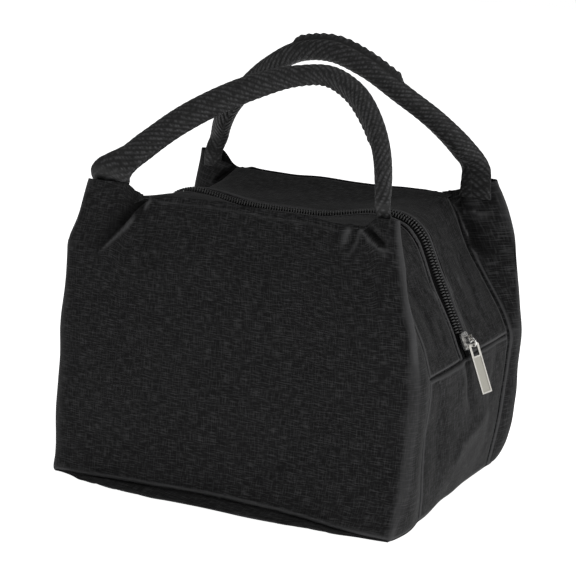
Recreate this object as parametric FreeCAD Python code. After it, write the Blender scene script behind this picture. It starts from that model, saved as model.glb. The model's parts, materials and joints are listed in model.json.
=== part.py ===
"""Soft insulated lunch bag: cloth shell, foam, foil lining, one zip and two padded handles.

Millimetres, +Z up. The base rests on z = 0, the front faces -Y and the zip slider is at the +X end.
"""
import FreeCAD, Part
import math
import os

V = FreeCAD.Vector

# Driving sizes of the closed bag
base_length = 226.0
base_depth = 172.0
seam_height = 88.0
seam_length = 240.0
rim_height = 173.0
rim_depth = 136.0
wall_swell = 3.0
valley_drop = 10.0
roof_length = 172.5
ear_rise = 9.0
ear_length = 204.0
ear_width = 27.0
ear_bulge = 2.5
ear_shoulder = 12.0

# Thickness of each layer of the wall, from the outside in
cloth = 0.8
foam = 3.2
foil = 0.4

# Zip chain and the widths left open along its line
tape_thickness = 0.6
tape_half_width = 14.0
coil_height = 2.4
coil_half_width = 3.0
zip_gap = 0.8
cloth_edge = 5.5
foam_edge = 7.0

# Zip slider, ring and pull
slider_length = 10.5
slider_width = 9.6
slider_start = 5.0
plate_thickness = 1.1
slide_clearance = 0.3
post_thickness = 1.0
pin_radius = 0.6
lug_gap = 4.2
lug_thickness = 0.9
lug_length = 4.6
lug_foot = 0.8
ring_radius = 2.6
ring_wire = 0.5
ring_twist = -18.0
ring_lift = 53.0
ring_share = 0.3
pull_length = 31.0
pull_width = 7.0
pull_thickness = 1.3
pull_twist = -33.0
pull_tilt = 4.0
pull_bar = 1.3
slot_width = 4.2
slot_length = 6.5
face_recess = 0.3
face_border = 0.9
link_clearance = 0.25

# Handles
handle_end_thickness = 2.5
handle_thickness = 12.0
handle_width = 14.0
handle_flatness = 0.2
front_rise = 80.5
back_rise = 82.5
taper_length = 26.0
webbing_wall = 2.0
core_clearance = 0.3
handle_gap = 0.3
hinge_offset = 0.15
front_lean = 35.0
back_lean = 22.0
sewn_depth = 18.0
sewn_thickness = 2.0
sewn_inset = 5.0

half_base = base_length / 2
half_seam = seam_length / 2
ear_height = rim_height + ear_rise
flat_slope = (base_depth - rim_depth) / 2 / rim_height
crown_y = -base_depth / 2 + flat_slope * seam_height - wall_swell
low_slope = (crown_y + base_depth / 2) / seam_height
high_slope = (-rim_depth / 2 - crown_y) / (rim_height - seam_height)
end_flare = (half_seam - half_base) / seam_height
valley_height = rim_height - valley_drop
end_slope = (half_seam - roof_length / 2) / (valley_height - seam_height)
roof_slope = valley_drop / (rim_depth / 2)
foam_depth = cloth + foam
wall_depth = foam_depth + foil


def front_y(height):
    """Y of the front panel's outer face at a height: it swells out towards the end seam's height."""
    above = height - seam_height
    return crown_y + above * (high_slope if above > 0 else low_slope)


def wall(point, normal):
    """A wall's outer plane: a point on it and its outward direction."""
    direction = V(*normal)
    return V(*point), direction.normalize()


front_low = wall((0, crown_y, seam_height), (0, -1, low_slope))
front_high = wall((0, crown_y, seam_height), (0, -1, high_slope))
back_low = wall((0, -crown_y, seam_height), (0, 1, low_slope))
back_high = wall((0, -crown_y, seam_height), (0, 1, high_slope))
right_low = wall((half_base, 0, 0), (1, 0, -end_flare))
left_low = wall((-half_base, 0, 0), (-1, 0, -end_flare))
right_high = wall((half_seam, 0, seam_height), (1, 0, end_slope))
left_high = wall((-half_seam, 0, seam_height), (-1, 0, end_slope))
roof = wall((0, 0, valley_height), (0, roof_slope, 1))
floor = wall((0, 0, 0), (0, 0, -1))


def inward(planes, depth):
    """The same planes, each moved inward by a depth."""
    return [(point - normal * depth, normal) for point, normal in planes]


def past(plane, depth):
    """The other side of a plane moved inward by a depth."""
    point, normal = plane
    return point - normal * depth, normal * -1


def corner_points(planes):
    """Every point where three planes meet inside all the others."""
    found = []
    levels = [point.dot(normal) for point, normal in planes]
    count = len(planes)
    for a in range(count):
        for b in range(a + 1, count):
            for c in range(b + 1, count):
                na, nb, nc = planes[a][1], planes[b][1], planes[c][1]
                scale = na.dot(nb.cross(nc))
                if abs(scale) < 1e-9:
                    continue
                meet = nb.cross(nc) * levels[a] + nc.cross(na) * levels[b] + na.cross(nb) * levels[c]
                meet = meet * (1 / scale)
                inside = all(meet.dot(n) < level + 1e-6 for (_, n), level in zip(planes, levels))
                if inside and all((meet - other).Length > 1e-5 for other in found):
                    found.append(meet)
    return found


def block(planes):
    """The solid that lies inside every one of a list of planes."""
    corners = corner_points(planes)
    faces = []
    for point, normal in planes:
        rim = [corner for corner in corners if abs((corner - point).dot(normal)) < 1e-5]
        if len(rim) < 3:
            continue
        middle = sum(rim, V(0, 0, 0)) * (1 / len(rim))
        first = (rim[0] - middle).normalize()
        second = normal.cross(first)
        rim.sort(key=lambda corner: math.atan2((corner - middle).dot(second), (corner - middle).dot(first)))
        faces.append(Part.Face(Part.makePolygon(rim + rim[:1])))
    return Part.Solid(Part.Shell(faces))


low_ends = [right_low, left_low]
high_ends = [right_high, left_high]
front_faces = [front_low, front_high]
sides = front_faces + [back_low, back_high]


def front_half():
    """The whole front half of the closed bag as one solid."""
    middle = wall((0, 0, 0), (0, 1, 0))
    return block(front_faces + [roof, floor, middle] + low_ends + high_ends)


def mirror_x(solid):
    """The same piece on the other end of the bag."""
    return solid.mirror(V(0, 0, 0), V(1, 0, 0))


def mirror_y(solid):
    """The same piece on the other side of the bag."""
    return solid.mirror(V(0, 0, 0), V(0, 1, 0))


def bottom_layer(outer, inner):
    """One layer of the bottom between two depths."""
    return block(inward([floor], outer) + [past(floor, inner)] + inward(sides + low_ends, inner))


def end_layer(outer, inner):
    """One layer of the right end below its seam."""
    seam = wall((0, 0, seam_height), (0, 0, 1))
    faces = inward([right_low, floor], outer) + [past(right_low, inner)]
    return block(faces + inward(sides, inner) + [seam])


def front_layer(outer, inner):
    """One layer of the front wall inside its cloth panel."""
    middle = wall((0, 0, 0), (0, 1, 0))
    limits = inward([roof, floor] + low_ends + high_ends, outer) + [middle]
    return block(limits + inward(front_faces, outer)).cut(block(limits + inward(front_faces, inner)))


def zip_layer(outer, inner, front_depth, edge, reach_out=rim_depth):
    """One layer of the front half of the zip panel: up an end, over the top, down the other end."""
    zip_line = wall((0, -edge, 0), (0, 1, 0))
    far_line = wall((0, -reach_out, 0), (0, -1, 0))
    seam = wall((0, 0, seam_height), (0, 0, -1))
    limits = inward(front_faces, front_depth) + [zip_line, far_line, seam]
    shell = block(limits + inward(high_ends + [roof], outer))
    hollow = block(limits + inward(high_ends + [roof], inner))
    return shell.cut(hollow)


def plate_on_front(plane, outline, depth, thickness):
    """A flat plate parallel to a face of the front, from (x, z) points."""
    normal = plane[1]
    points = [V(x, front_y(z), z) - normal * depth for x, z in outline]
    face = Part.Face(Part.makePolygon(points + points[:1]))
    return face.extrude(normal * -thickness)


ear_x = ear_length / 2
ear_inner_x = ear_x - ear_width


def both_sides(right):
    """A closed outline from its right half, bottom to top."""
    return right + [(-x, z) for x, z in reversed(right)]


def front_panel():
    """The front cloth: a lower and an upper face that meet at the end seam's height, and two ears."""
    middle_z = (seam_height + ear_height) / 2
    middle_x = (half_seam + ear_x) / 2 + ear_bulge
    rim_x = ear_inner_x - ear_shoulder
    lower = both_sides([(half_base, 0), (half_seam, seam_height)])
    upper = both_sides([
        (half_seam, seam_height),
        (middle_x, middle_z),
        (ear_x, ear_height),
        (ear_inner_x, ear_height),
        (rim_x, rim_height),
    ])
    panel = plate_on_front(front_low, lower, 0, cloth).fuse(plate_on_front(front_high, upper, 0, cloth))
    below = Part.makeBox(2 * base_length, 2 * base_depth, base_depth, V(-base_length, -base_depth, -base_depth))
    return panel.removeSplitter().cut(below)


def facing_points():
    """Corners of the right ear's facing: foot, ear corner and the fold beside the zip."""
    inside = front_high[1] * -cloth
    foot = V(half_seam, front_y(seam_height), seam_height) + inside
    corner = V(ear_x, front_y(ear_height), ear_height) + inside
    fold_y = -0.3 * rim_depth
    fold_z = valley_height - roof_slope * fold_y
    fold = V(half_seam - end_slope * (fold_z - seam_height), fold_y, fold_z)
    return foot, corner, fold


def facing_plane():
    """The plane of the right ear's facing, outward direction away from the bag."""
    foot, corner, fold = facing_points()
    normal = (fold - foot).cross(corner - foot).normalize()
    if normal.x < 0:
        normal = normal * -1
    return foot, normal


def slab(plane, depth):
    """A large block that covers everything outside a plane moved inward by a depth."""
    point, normal = plane
    size = 2 * base_length
    cover = Part.makeBox(size, size, size, V(-size / 2, -size / 2, 0))
    cover.Placement = FreeCAD.Placement(point - normal * depth, FreeCAD.Rotation(V(0, 0, 1), normal))
    return cover


def ear_facing():
    """The cloth behind the right front ear, from the ear's edge to the zip panel."""
    foot, normal = facing_plane()
    points = facing_points()
    face = Part.Face(Part.makePolygon(list(points) + [points[0]]))
    sheet = face.extrude(normal * -cloth)
    sheet = sheet.cut(front_half()).cut(slab(front_high, cloth))
    return max(sheet.Solids, key=lambda solid: solid.Volume)


def handle_end():
    """The right end of the front handle, sewn behind the ear."""
    low = ear_height - sewn_depth
    outline = [(ear_inner_x, low), (ear_x - sewn_inset, low), (ear_x - sewn_inset, ear_height),
               (ear_inner_x, ear_height)]
    end = plate_on_front(front_high, outline, cloth, sewn_thickness)
    end = end.cut(front_half())
    return end.cut(slab(facing_plane(), cloth))


# Directions along the zip's straight run on the right end: up the run, and outward from it
run_length = math.hypot(end_slope, 1)
run_up = V(-end_slope / run_length, 0, 1 / run_length)
run_out = V(1 / run_length, 0, end_slope / run_length)
run_foot = V(half_seam, 0, seam_height)

tape_depth = cloth + tape_thickness
coil_rise = coil_height - cloth
plate_low = coil_rise + slide_clearance
plate_top = plate_low + plate_thickness

# The ring stands clear of the slider's plate, with the pin just inside it on the plate's side
ring_up = slider_start + ring_share * slider_length
ring_out = plate_top + ring_radius + ring_wire + link_clearance
pin_reach = ring_radius - ring_wire - pin_radius - link_clearance
pin_up = ring_up + pin_reach * math.cos(math.radians(ring_lift))
pin_out = ring_out - pin_reach * math.sin(math.radians(ring_lift))
bar_up = ring_up - (ring_radius - ring_wire - pull_bar / 2 - link_clearance)


def on_run(up, across, out):
    """A point given along, across and outward from the zip's run on the right end."""
    return run_foot + run_up * up + V(0, across, 0) + run_out * out


def place_on_run(solid):
    """Move a solid drawn with X up the run and Z outward onto the run."""
    turn = FreeCAD.Matrix()
    turn.A11, turn.A21, turn.A31 = run_up.x, run_up.y, run_up.z
    turn.A12, turn.A22, turn.A32 = 0, -1, 0
    turn.A13, turn.A23, turn.A33 = run_out.x, run_out.y, run_out.z
    placed = solid.copy()
    onto_run = FreeCAD.Placement(run_foot, FreeCAD.Placement(turn).Rotation)
    placed.Placement = onto_run.multiply(solid.Placement)
    return placed


def zip_tape():
    """The front tape, laid between the zip panel's cloth and its foam."""
    return zip_layer(cloth, tape_depth, foam_depth, zip_gap, tape_half_width)


def zip_coil():
    """The front row of coil teeth as a plain strip, ending above the parked slider."""
    coil = zip_layer(-coil_rise, cloth, foam_depth, zip_gap, coil_half_width)
    top = slider_start + slider_length + slide_clearance
    return coil.cut(slab((on_run(top, 0, 0), run_up * -1), 0))


def zip_foam(tape):
    """Foam of the front zip panel, with the tape's thickness taken out of it."""
    return zip_layer(cloth, foam_depth, foam_depth, foam_edge).cut(tape)


def slider_plate(low, high):
    """One rounded plate of the slider."""
    plate = Part.makeBox(slider_length, slider_width, high - low, V(slider_start, -slider_width / 2, low))
    corners = [edge for edge in plate.Edges if abs(edge.Vertexes[0].X - edge.Vertexes[1].X) < 0.01
               and abs(edge.Vertexes[0].Y - edge.Vertexes[1].Y) < 0.01]
    return plate.makeFillet(slider_width / 4, corners)


def zip_slider():
    """Two plates joined by a thin post, with two lugs and the pin that holds the ring."""
    under_top = -tape_depth - slide_clearance
    under_low = under_top - plate_thickness
    body = slider_plate(plate_low, plate_top)
    body = body.fuse(slider_plate(under_low, under_top))
    post = Part.makeBox(slider_length / 3, post_thickness, plate_low - under_top,
                        V(slider_start + slider_length / 6, -post_thickness / 2, under_top))
    body = body.fuse(post)
    lug_rise = pin_out + 1.5 * pin_radius - plate_top
    for side in (-1, 1):
        middle = side * (lug_gap + lug_thickness) / 2
        lug = Part.makeBox(lug_length, lug_thickness, lug_rise,
                           V(pin_up - lug_foot, middle - lug_thickness / 2, plate_top))
        body = body.fuse(lug)
    pin_length = lug_gap + 2 * lug_thickness
    pin = Part.makeCylinder(pin_radius, pin_length, V(pin_up, -pin_length / 2, pin_out), V(0, 1, 0))
    return place_on_run(body.fuse(pin).removeSplitter())


def zip_ring():
    """The round wire ring that links the pull to the slider's pin."""
    middle = V(ring_up, 0, ring_out)
    ring = Part.makeTorus(ring_radius, ring_wire, middle, V(0, 1, 0))
    ring.rotate(middle, V(1, 0, 0), ring_twist)
    return place_on_run(ring)


def zip_pull():
    """The flat pull: slot at the top with a round bar, sunk face with a raised border."""
    half_width = pull_width / 2
    half_thick = pull_thickness / 2
    top = pull_bar / 2
    low = top - pull_length
    slot_low = -top - slot_length
    plate = Part.makeBox(pull_length, pull_width, pull_thickness, V(low, -half_width, -half_thick))
    shoulders = [edge for edge in plate.Edges if min(vertex.X for vertex in edge.Vertexes) > top - 0.01
                 and abs(edge.Vertexes[0].Y - edge.Vertexes[1].Y) < 0.01]
    plate = plate.makeFillet(half_width * 0.45, shoulders)
    slot = Part.makeBox(slot_length + pull_bar, slot_width, 2 * pull_thickness,
                        V(slot_low, -slot_width / 2, -pull_thickness))
    face_low = low + face_border
    face_width = pull_width - 2 * face_border
    sunk = Part.makeBox(slot_low - face_border - face_low, face_width, face_recess,
                        V(face_low, -face_width / 2, half_thick - face_recess))
    bar = Part.makeCylinder(pull_bar / 2, slot_width, V(0, -slot_width / 2, 0), V(0, 1, 0))
    pull = plate.cut(slot).cut(sunk).fuse(bar)
    pull.rotate(V(0, 0, 0), V(1, 0, 0), pull_twist)
    pull.rotate(V(0, 0, 0), V(0, 1, 0), -pull_tilt)
    pull.translate(V(bar_up, 0, ring_out))
    return place_on_run(pull)


end_radius = handle_end_thickness / 2
hinge_y = front_y(ear_height) - end_radius - hinge_offset
hinge_z = ear_height + end_radius + handle_gap
end_x = (ear_x + ear_inner_x) / 2

# Handle middle lines as (x as a share of end_x, height up the leaning plane as a share of the handle's rise),
# then the webbing's width at the left end, crown and right end as shares of the handle's width
front_line = [(-1, 0), (-0.985, 0.087), (-0.93, 0.199), (-0.82, 0.323), (-0.63, 0.509), (-0.38, 0.708),
              (-0.12, 0.87), (0.15, 0.981), (0.37, 1), (0.55, 0.919), (0.75, 0.708), (0.88, 0.484),
              (0.96, 0.248), (0.995, 0.099), (1, 0)]
back_line = [(-1, 0), (-0.985, 0.097), (-0.94, 0.206), (-0.86, 0.327), (-0.68, 0.558), (-0.44, 0.776),
             (-0.17, 0.945), (0.08, 1), (0.29, 0.921), (0.56, 0.703), (0.82, 0.436), (0.95, 0.218),
             (0.99, 0.097), (1, 0)]
front_widths = (1.14, 1.0, 0.89)
back_widths = (1.0, 1.0, 0.94)
section_count = 33
oval_points = 12


def handle_frame(lean):
    """Directions of a leaning front handle: up its plane and out of its plane."""
    angle = math.radians(lean)
    return V(0, math.sin(angle), math.cos(angle)), V(0, -math.cos(angle), math.sin(angle))


def ease(share):
    """A smooth step from 0 to 1."""
    share = max(0.0, min(1.0, share))
    return share * share * (3 - 2 * share)


def handle_sections(line, rise, widths, lean):
    """Middle points, directions and half sizes along a handle."""
    up, out = handle_frame(lean)
    origin = V(0, hinge_y, hinge_z)
    curve = Part.BSplineCurve()
    curve.interpolate([origin + V(x * end_x, 0, 0) + up * (height * rise) for x, height in line],
                      InitialTangent=up, FinalTangent=up * -1)
    points = curve.discretize(Number=section_count)
    total = curve.length()
    sections = []
    for index, point in enumerate(points):
        share = index / (section_count - 1)
        tangent = V(*curve.tangent(curve.parameter(point))[0]).normalize()
        across = tangent.cross(out).normalize()
        left, crown, right = [width * handle_width / 2 for width in widths]
        round_width = left + (crown - left) * ease(2 * share) + (right - crown) * ease(2 * share - 1)
        near_end = min(share, 1 - share) * total
        roundness = ease(near_end / taper_length)
        half_width = ear_width / 2 + (round_width - ear_width / 2) * roundness
        half_thick = end_radius + (handle_thickness / 2 - end_radius) * roundness
        half_thick = min(half_thick, half_width - handle_flatness)
        sections.append((point, across, out, half_width, half_thick, near_end))
    return sections


def loft_ovals(sections, shrink):
    """A solid through oval sections, each made smaller by the same amount."""
    wires = []
    for point, across, out, half_width, half_thick, near_end in sections:
        rim = []
        for step in range(oval_points):
            angle = 2 * math.pi * step / oval_points
            rim.append(point + across * (half_width - shrink) * math.cos(angle)
                       + out * (half_thick - shrink) * math.sin(angle))
        oval = Part.BSplineCurve()
        oval.interpolate(rim, PeriodicFlag=True)
        wires.append(Part.Wire(oval.toShape()))
    return Part.makeLoft(wires, True, True)


def handle_pieces(line, rise, widths, lean):
    """The webbing of a handle, hollow, and the core inside it."""
    sections = handle_sections(line, rise, widths, lean)
    filled = [section for section in sections if section[5] > taper_length]
    core = loft_ovals(filled, webbing_wall + core_clearance)
    room = loft_ovals(filled, webbing_wall)
    webbing = loft_ovals(sections, 0)
    for side in (-1, 1):
        foot = V(side * end_x - ear_width / 2, hinge_y, hinge_z)
        webbing = webbing.fuse(Part.makeCylinder(end_radius, ear_width, foot, V(1, 0, 0)))
    return webbing.cut(room), core


def tub_pieces():
    """Every piece of the bag below the end seams."""
    layers = {"panel": (0, cloth), "foam": (cloth, foam_depth), "lining": (foam_depth, wall_depth)}
    pieces = {}
    for name, (outer, inner) in layers.items():
        pieces["bottom_" + name] = bottom_layer(outer, inner)
        right_end = end_layer(outer, inner)
        pieces["right_end_" + name] = right_end
        pieces["left_end_" + name] = mirror_x(right_end)
    return pieces


def front_wall_pieces():
    """Every piece of the front wall and its half of the zip panel."""
    tape = zip_tape()
    facing = ear_facing()
    end = handle_end()
    return {
        "panel": front_panel(),
        "foam": front_layer(cloth, foam_depth),
        "lining": front_layer(foam_depth, wall_depth),
        "zip_panel": zip_layer(0, cloth, cloth, cloth_edge),
        "zip_foam": zip_foam(tape),
        "zip_lining": zip_layer(foam_depth, wall_depth, wall_depth, foam_edge),
        "zip_tape": tape,
        "zip_coil": zip_coil(),
        "right_ear_facing": facing,
        "left_ear_facing": mirror_x(facing),
        "right_handle_end": end,
        "left_handle_end": mirror_x(end),
    }


def all_pieces():
    """Every piece of the bag by its node name."""
    pieces = tub_pieces()
    for name, solid in front_wall_pieces().items():
        pieces["front_" + name] = solid
        pieces["back_" + name] = mirror_y(solid)
    webbing, core = handle_pieces(front_line, front_rise, front_widths, front_lean)
    pieces["front_handle_webbing"] = webbing
    pieces["front_handle_core"] = core
    webbing, core = handle_pieces(back_line, back_rise, back_widths, back_lean)
    pieces["back_handle_webbing"] = mirror_y(webbing)
    pieces["back_handle_core"] = mirror_y(core)
    pieces["zip_slider"] = zip_slider()
    pieces["zip_ring"] = zip_ring()
    pieces["zip_pull"] = zip_pull()
    return pieces


os.makedirs("parts", exist_ok=True)
for piece_name, piece in all_pieces().items():
    piece.exportStep("parts/" + piece_name + ".step")
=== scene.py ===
"""Soft insulated lunch bag: sewn cloth shell, foil lining, coil zip and two padded webbing handles.

Tables hold millimetres in the frame of the packed part. The front faces -Y and the slider is at +X.
"""

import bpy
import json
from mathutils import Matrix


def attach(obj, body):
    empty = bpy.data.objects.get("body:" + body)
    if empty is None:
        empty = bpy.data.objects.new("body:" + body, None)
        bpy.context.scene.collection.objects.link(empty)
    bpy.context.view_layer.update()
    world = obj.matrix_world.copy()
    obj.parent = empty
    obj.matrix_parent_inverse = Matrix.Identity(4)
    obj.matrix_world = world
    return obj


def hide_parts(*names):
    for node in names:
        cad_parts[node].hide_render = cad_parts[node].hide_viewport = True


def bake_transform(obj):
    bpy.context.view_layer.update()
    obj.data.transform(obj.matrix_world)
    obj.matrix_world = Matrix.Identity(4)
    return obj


bl_info = {
    "name": "Insulated lunch bag",
    "version": (1, 0, 0),
    "blender": (4, 5, 0),
    "location": "View3D > Sidebar > Lunch bag",
    "description": "Builds the cloth, zip, lining and handles of a soft lunch bag around its packed frame",
    "category": "Object",
}

import json
import math

import bpy
import numpy as np
from mathutils import Matrix, Vector

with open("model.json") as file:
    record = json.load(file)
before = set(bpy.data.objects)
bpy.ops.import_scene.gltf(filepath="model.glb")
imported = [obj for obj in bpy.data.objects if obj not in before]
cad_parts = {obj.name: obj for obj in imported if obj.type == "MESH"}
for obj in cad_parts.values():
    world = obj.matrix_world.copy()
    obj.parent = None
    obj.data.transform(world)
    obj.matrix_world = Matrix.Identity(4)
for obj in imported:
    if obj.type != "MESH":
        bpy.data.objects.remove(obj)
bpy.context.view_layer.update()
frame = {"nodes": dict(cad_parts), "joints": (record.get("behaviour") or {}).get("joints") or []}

MM = 0.001
sides = {"front": -1, "back": 1}
made = {}


def once(maker):
    """What a maker makes, made only the first time."""
    if maker.__name__ not in made:
        made[maker.__name__] = maker()
    return made[maker.__name__]


def joint_place(name):
    """Where a joint of the frame lies, in millimetres."""
    joint = next(joint for joint in frame["joints"] if joint["name"] == name)
    return np.array(joint["pos_m"]) / MM


# Driving heights of the sewn shell, the rows and columns of its patches, and the extra lines that their
# fine grids have close to the edges
seam_height = 88.0
ear_end = 102.0
lower_rows = 24
upper_rows = 26
rim_columns = 38
ear_columns = 8
wrap_columns = 8
end_columns = 30
zip_rows = 14
refine_by = 3
edge_lines = (0.1, 0.2, 0.45, 0.55, 0.8, 0.9, 1.15, 1.25, 1.5)

# Straight zip run on the ends, as in the frame: its foot, where it turns over the top, and its slope
run_foot_x = 120.0
run_turn_x = 88.9
run_slope = 0.45

# Cloth's edge beside the zip and how much wider it gapes at two places: a height on the right end at the
# front, and an x on the top at the back, each with its reach
cloth_edge = 5.6
wide_gap = 3.2
front_gape = (132.0, 18.0)
back_gape = (-52.0, 28.0)

# Depth of the lining inside the cloth and the room it leaves behind the tucks
lining_depth = 4.6
tuck_room = 6.0

# Half width of the lining low down, the height where it starts to narrow and over how much height it does,
# and where it gives room behind a tuck: height, distance from the middle, reach
lining_half = 118.0
narrow_from = 100
narrow_over = 30
tuck_foot = 118
tuck_side = 40
tuck_reach = 20

# Creases of the foil: how many, their least and largest step in grid lines, and about one turn of a wave
crease_count = 14
crease_steps = (4, 14)
wave_turn = 6.28

# How far the soft shapes depart from flat cloth
wall_puff = 4.0
puff_height = 185.0
ear_set_back = 4.5
wrap_swell = 2.5
top_sag = 2.5
top_swell = 3.5
top_swell_place = (-50.0, 22.0)
end_swell = 3.5
foot_draw = 2.0
roll_share = {"front": 1.0, "back": 0.5}
lip_height = {"front": 1.6, "back": 1.4}

# Slow unevenness of the cloth: its random start, its waves, their least and largest length, what divides it
ripple_seed = 7
ripple_waves = 26
ripple_lengths = (16, 60)
ripple_scale = 5

# Rounding of the upright corners: its reach in columns, its strength low down and at the ears, its passes.
# Then the same for the places where the zip panels turn on to the top
corner_reach = 3.5
corner_strength = (0.4, 0.14)
corner_passes = 5
turn_reach = 5
turn_strength = 0.5
turn_passes = 14

# Height above which the zip panels lie on the top, where their bow starts and over how much height it grows
top_level = 150
bow_from = 140
bow_over = 25

# Bend of the cloth, per millimetre, at which a ridge starts to show lighter, partly as wear and partly as a
# painted highlight, and how much more makes it full
ridge_from = 0.03
ridge_over = 0.22

# Middle of the shell, and a coordinate far from all of it
shell_middle = (0.0, 0.0, 85.0)
far_away = 1e6

# Outermost line of each upright corner: height, x, y
corner_right_front = (
    (0, 113.5, -90.5), (4, 115, -90), (10, 116.5, -88), (22, 118.5, -85), (46, 119.5, -80.5),
    (73, 119.8, -77), (100, 119, -75.5), (117, 117.5, -74.5), (138, 111.5, -73), (152, 108, -70.5),
    (166, 105, -69), (183, 102.5, -67.5),
)
corner_left_front = (
    (0, -116, -91), (4, -116.8, -90.5), (10, -117.5, -89), (30, -119.5, -85.5), (67, -120.5, -80.5),
    (90, -120.5, -78), (106, -120.3, -76), (125, -120, -74), (144, -118.4, -72), (160, -113, -70),
    (172, -110.2, -68.5), (183, -107, -67.5),
)
corner_right_back = (
    (0, 110, 78), (4, 114, 80.5), (10, 117.5, 82), (20, 120.5, 83), (42, 123.5, 82), (82, 124.8, 79),
    (108, 125.5, 76), (130, 124.5, 73), (156, 120.5, 70.5), (166, 117.5, 69.5), (174, 114.5, 69),
    (183, 110, 68),
)
corner_left_back = (
    (0, -112, 80), (4, -115, 82), (10, -118, 83), (20, -120, 83.5), (42, -121.5, 83), (82, -121.5, 79),
    (108, -119, 76), (130, -115, 73), (156, -111, 70), (166, -108.5, 69), (183, -105, 67.5),
)

# Seams between the wrapped cloth and the strip up the ends: height, distance out from the middle, distance
# from the middle of the depth
end_seam = {
    "front": (
        (0, 115.5, 54), (7, 116, 54), (26, 116, 54), (52, 116.2, 54), (76, 118.6, 54.5), (88, 119, 55),
        (99, 116.5, 55), (111, 112, 55), (120, 107, 55), (129, 102, 55.5), (139, 96.5, 56.5),
        (148, 92.5, 57.5), (157, 88.5, 59), (165, 83, 61.5), (169.5, 78, 64.5),
    ),
    "back": (
        (0, 114.5, 57), (7, 115.5, 58), (26, 118, 59.5), (52, 120.5, 61.5), (76, 122, 63.5),
        (88, 122, 63.5), (99, 117, 65), (111, 110, 64.5), (120, 104.5, 63), (129, 99.5, 61),
        (142, 92.5, 60), (152, 88, 60.5), (163, 82.5, 62), (169.5, 77, 64.5),
    ),
}

# Ears: where the rim ends at the tuck, where the ear's top begins, height of the ear's top
ears = {
    "right_front": (80.0, 88.0, 181.5), "left_front": (-63.0, -71.5, 182.5),
    "right_back": (70.0, 82.0, 184.0), "left_back": (-74.0, -86.0, 182.5),
}
front_rim = (
    (-110, 177), (-62, 176.7), (-46, 177.2), (-26, 178), (-3, 178), (22, 176.9), (48, 176.4), (64, 174.8),
    (80, 176.2), (110, 177),
)
back_rim = ((-110, 172), (-74, 172), (-50, 171.5), (0, 171), (50, 171), (70, 171.8), (110, 172))
rim_depth = 68.0

# Middle line of the zip over the top: x, height
zip_top = (
    (-88.9, 157.1), (-82.5, 164.2), (-73, 168), (-58, 167.3), (-47, 165.4), (-36, 164), (-19, 163.2),
    (0, 163), (19, 163.6), (36, 166), (52, 168.8), (64, 170), (73, 168.6), (82.5, 164.2), (88.9, 157.1),
)

# Folds at a tuck, each with its width towards the ear, its width towards the panel and the swell beside it.
# Points: distance outwards from the tuck, distance below the rim, depth
long_pleat = (((0, 1, 2.5), (8, 9, 5.5), (16, 18, 5.0), (24, 27, 2.4), (33, 36, 0.1)), 4.6, 1.5, 0.1)
short_pleat = (((2, 1, 2.4), (3, 12, 0.2)), 1.8, 1.8, 0.3)
faint_drape = (((-4, 2, 1.0), (-6, 24, 0.2)), 5.0, 5.0, 0.0)
inner_pleat = (((-4, 1, 1.6), (-7, 9, 1.6), (-9, 17, 0.2)), 2.0, 2.0, 0.3)
outer_pleat = (((1, 0, 2.0), (7, 4, 3.2), (12, 8, 2.2), (14, 10, 0.1)), 1.5, 1.8, 0.05)
level_pleat = (((14, 9.5, 0.8), (21, 9, 0.2)), 1.6, 1.6, 0.3)
hanging_drape = (((2, 20, 0.8), (-3, 46, 0.1)), 7.0, 7.0, 0.0)
tuck_folds = {
    "left_front": (long_pleat, short_pleat, faint_drape),
    "right_front": (inner_pleat, outer_pleat, level_pleat, hanging_drape),
    "right_back": (long_pleat, short_pleat, faint_drape),
    "left_back": (inner_pleat, outer_pleat, level_pleat, hanging_drape),
}

# Other folds of the front and back: x, height, depth
front_folds = (
    (((-112, 143.5, 1.6), (-106, 143, 1.6), (-96, 141, 0.2)), 2.2, 2.2, 0.2),
    (((-84, 24, 0.7), (-40, 30, 0.9), (5, 22, 0.2)), 9.0, 9.0, 0.2),
    (((20, 18, 0.8), (40, 34, 0.8), (52, 60, 0.1)), 8.0, 8.0, 0.2),
)
back_folds = (
    (((70, 36, 0.8), (20, 30, 0.9), (-30, 40, 0.2)), 9.0, 9.0, 0.2),
    (((-60, 120, 0.8), (-20, 90, 0.8), (10, 84, 0.1)), 9.0, 9.0, 0.2),
)
# Hollow between the zip panel and the back ear, and the level tuck across the ear: x, y, height, depth
ear_hollow = (((74, 66, 170, 3.0), (83, 66, 169, 7.0), (89, 65, 160, 5.0), (92, 64, 148, 0.4)), 6.0, 6.0, 0.0)
ear_tuck = (((91, 65, 163, 3.0), (99, 67, 164, 2.0), (107, 69, 165, 0.1)), 2.4, 2.4, 0.4)

# Folds of the end panels: y, height, depth, and a ridge where the depth is below 0
right_end_folds = (
    (((36, 45, -0.6), (16, 38, -1.9), (-3, 33.5, -1.9), (-11, 19, -0.2)), 6.5, 6.5, 0.0),
    (((-1.4, 84, 2.2), (4, 67, 2.6), (9.6, 50, 0.4)), 5.0, 5.0, 0.2),
    (((-40, 70, 1.2), (-34, 40, 1.4), (-38, 12, 0.2)), 7.0, 7.0, 0.2),
    (((44, 76, 0.8), (38, 50, 1.2), (44, 18, 0.2)), 6.0, 6.0, 0.2),
)
left_end_folds = (
    (((-30, 50, -0.5), (-8, 40, -1.7), (14, 30, -1.6), (22, 14, -0.2)), 6.5, 6.5, 0.0),
    (((6, 80, 1.6), (0, 60, 1.8), (-6, 46, 0.3)), 5.0, 5.0, 0.2),
    (((40, 72, 1.2), (36, 42, 1.2), (40, 14, 0.2)), 7.0, 7.0, 0.2),
)

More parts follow.
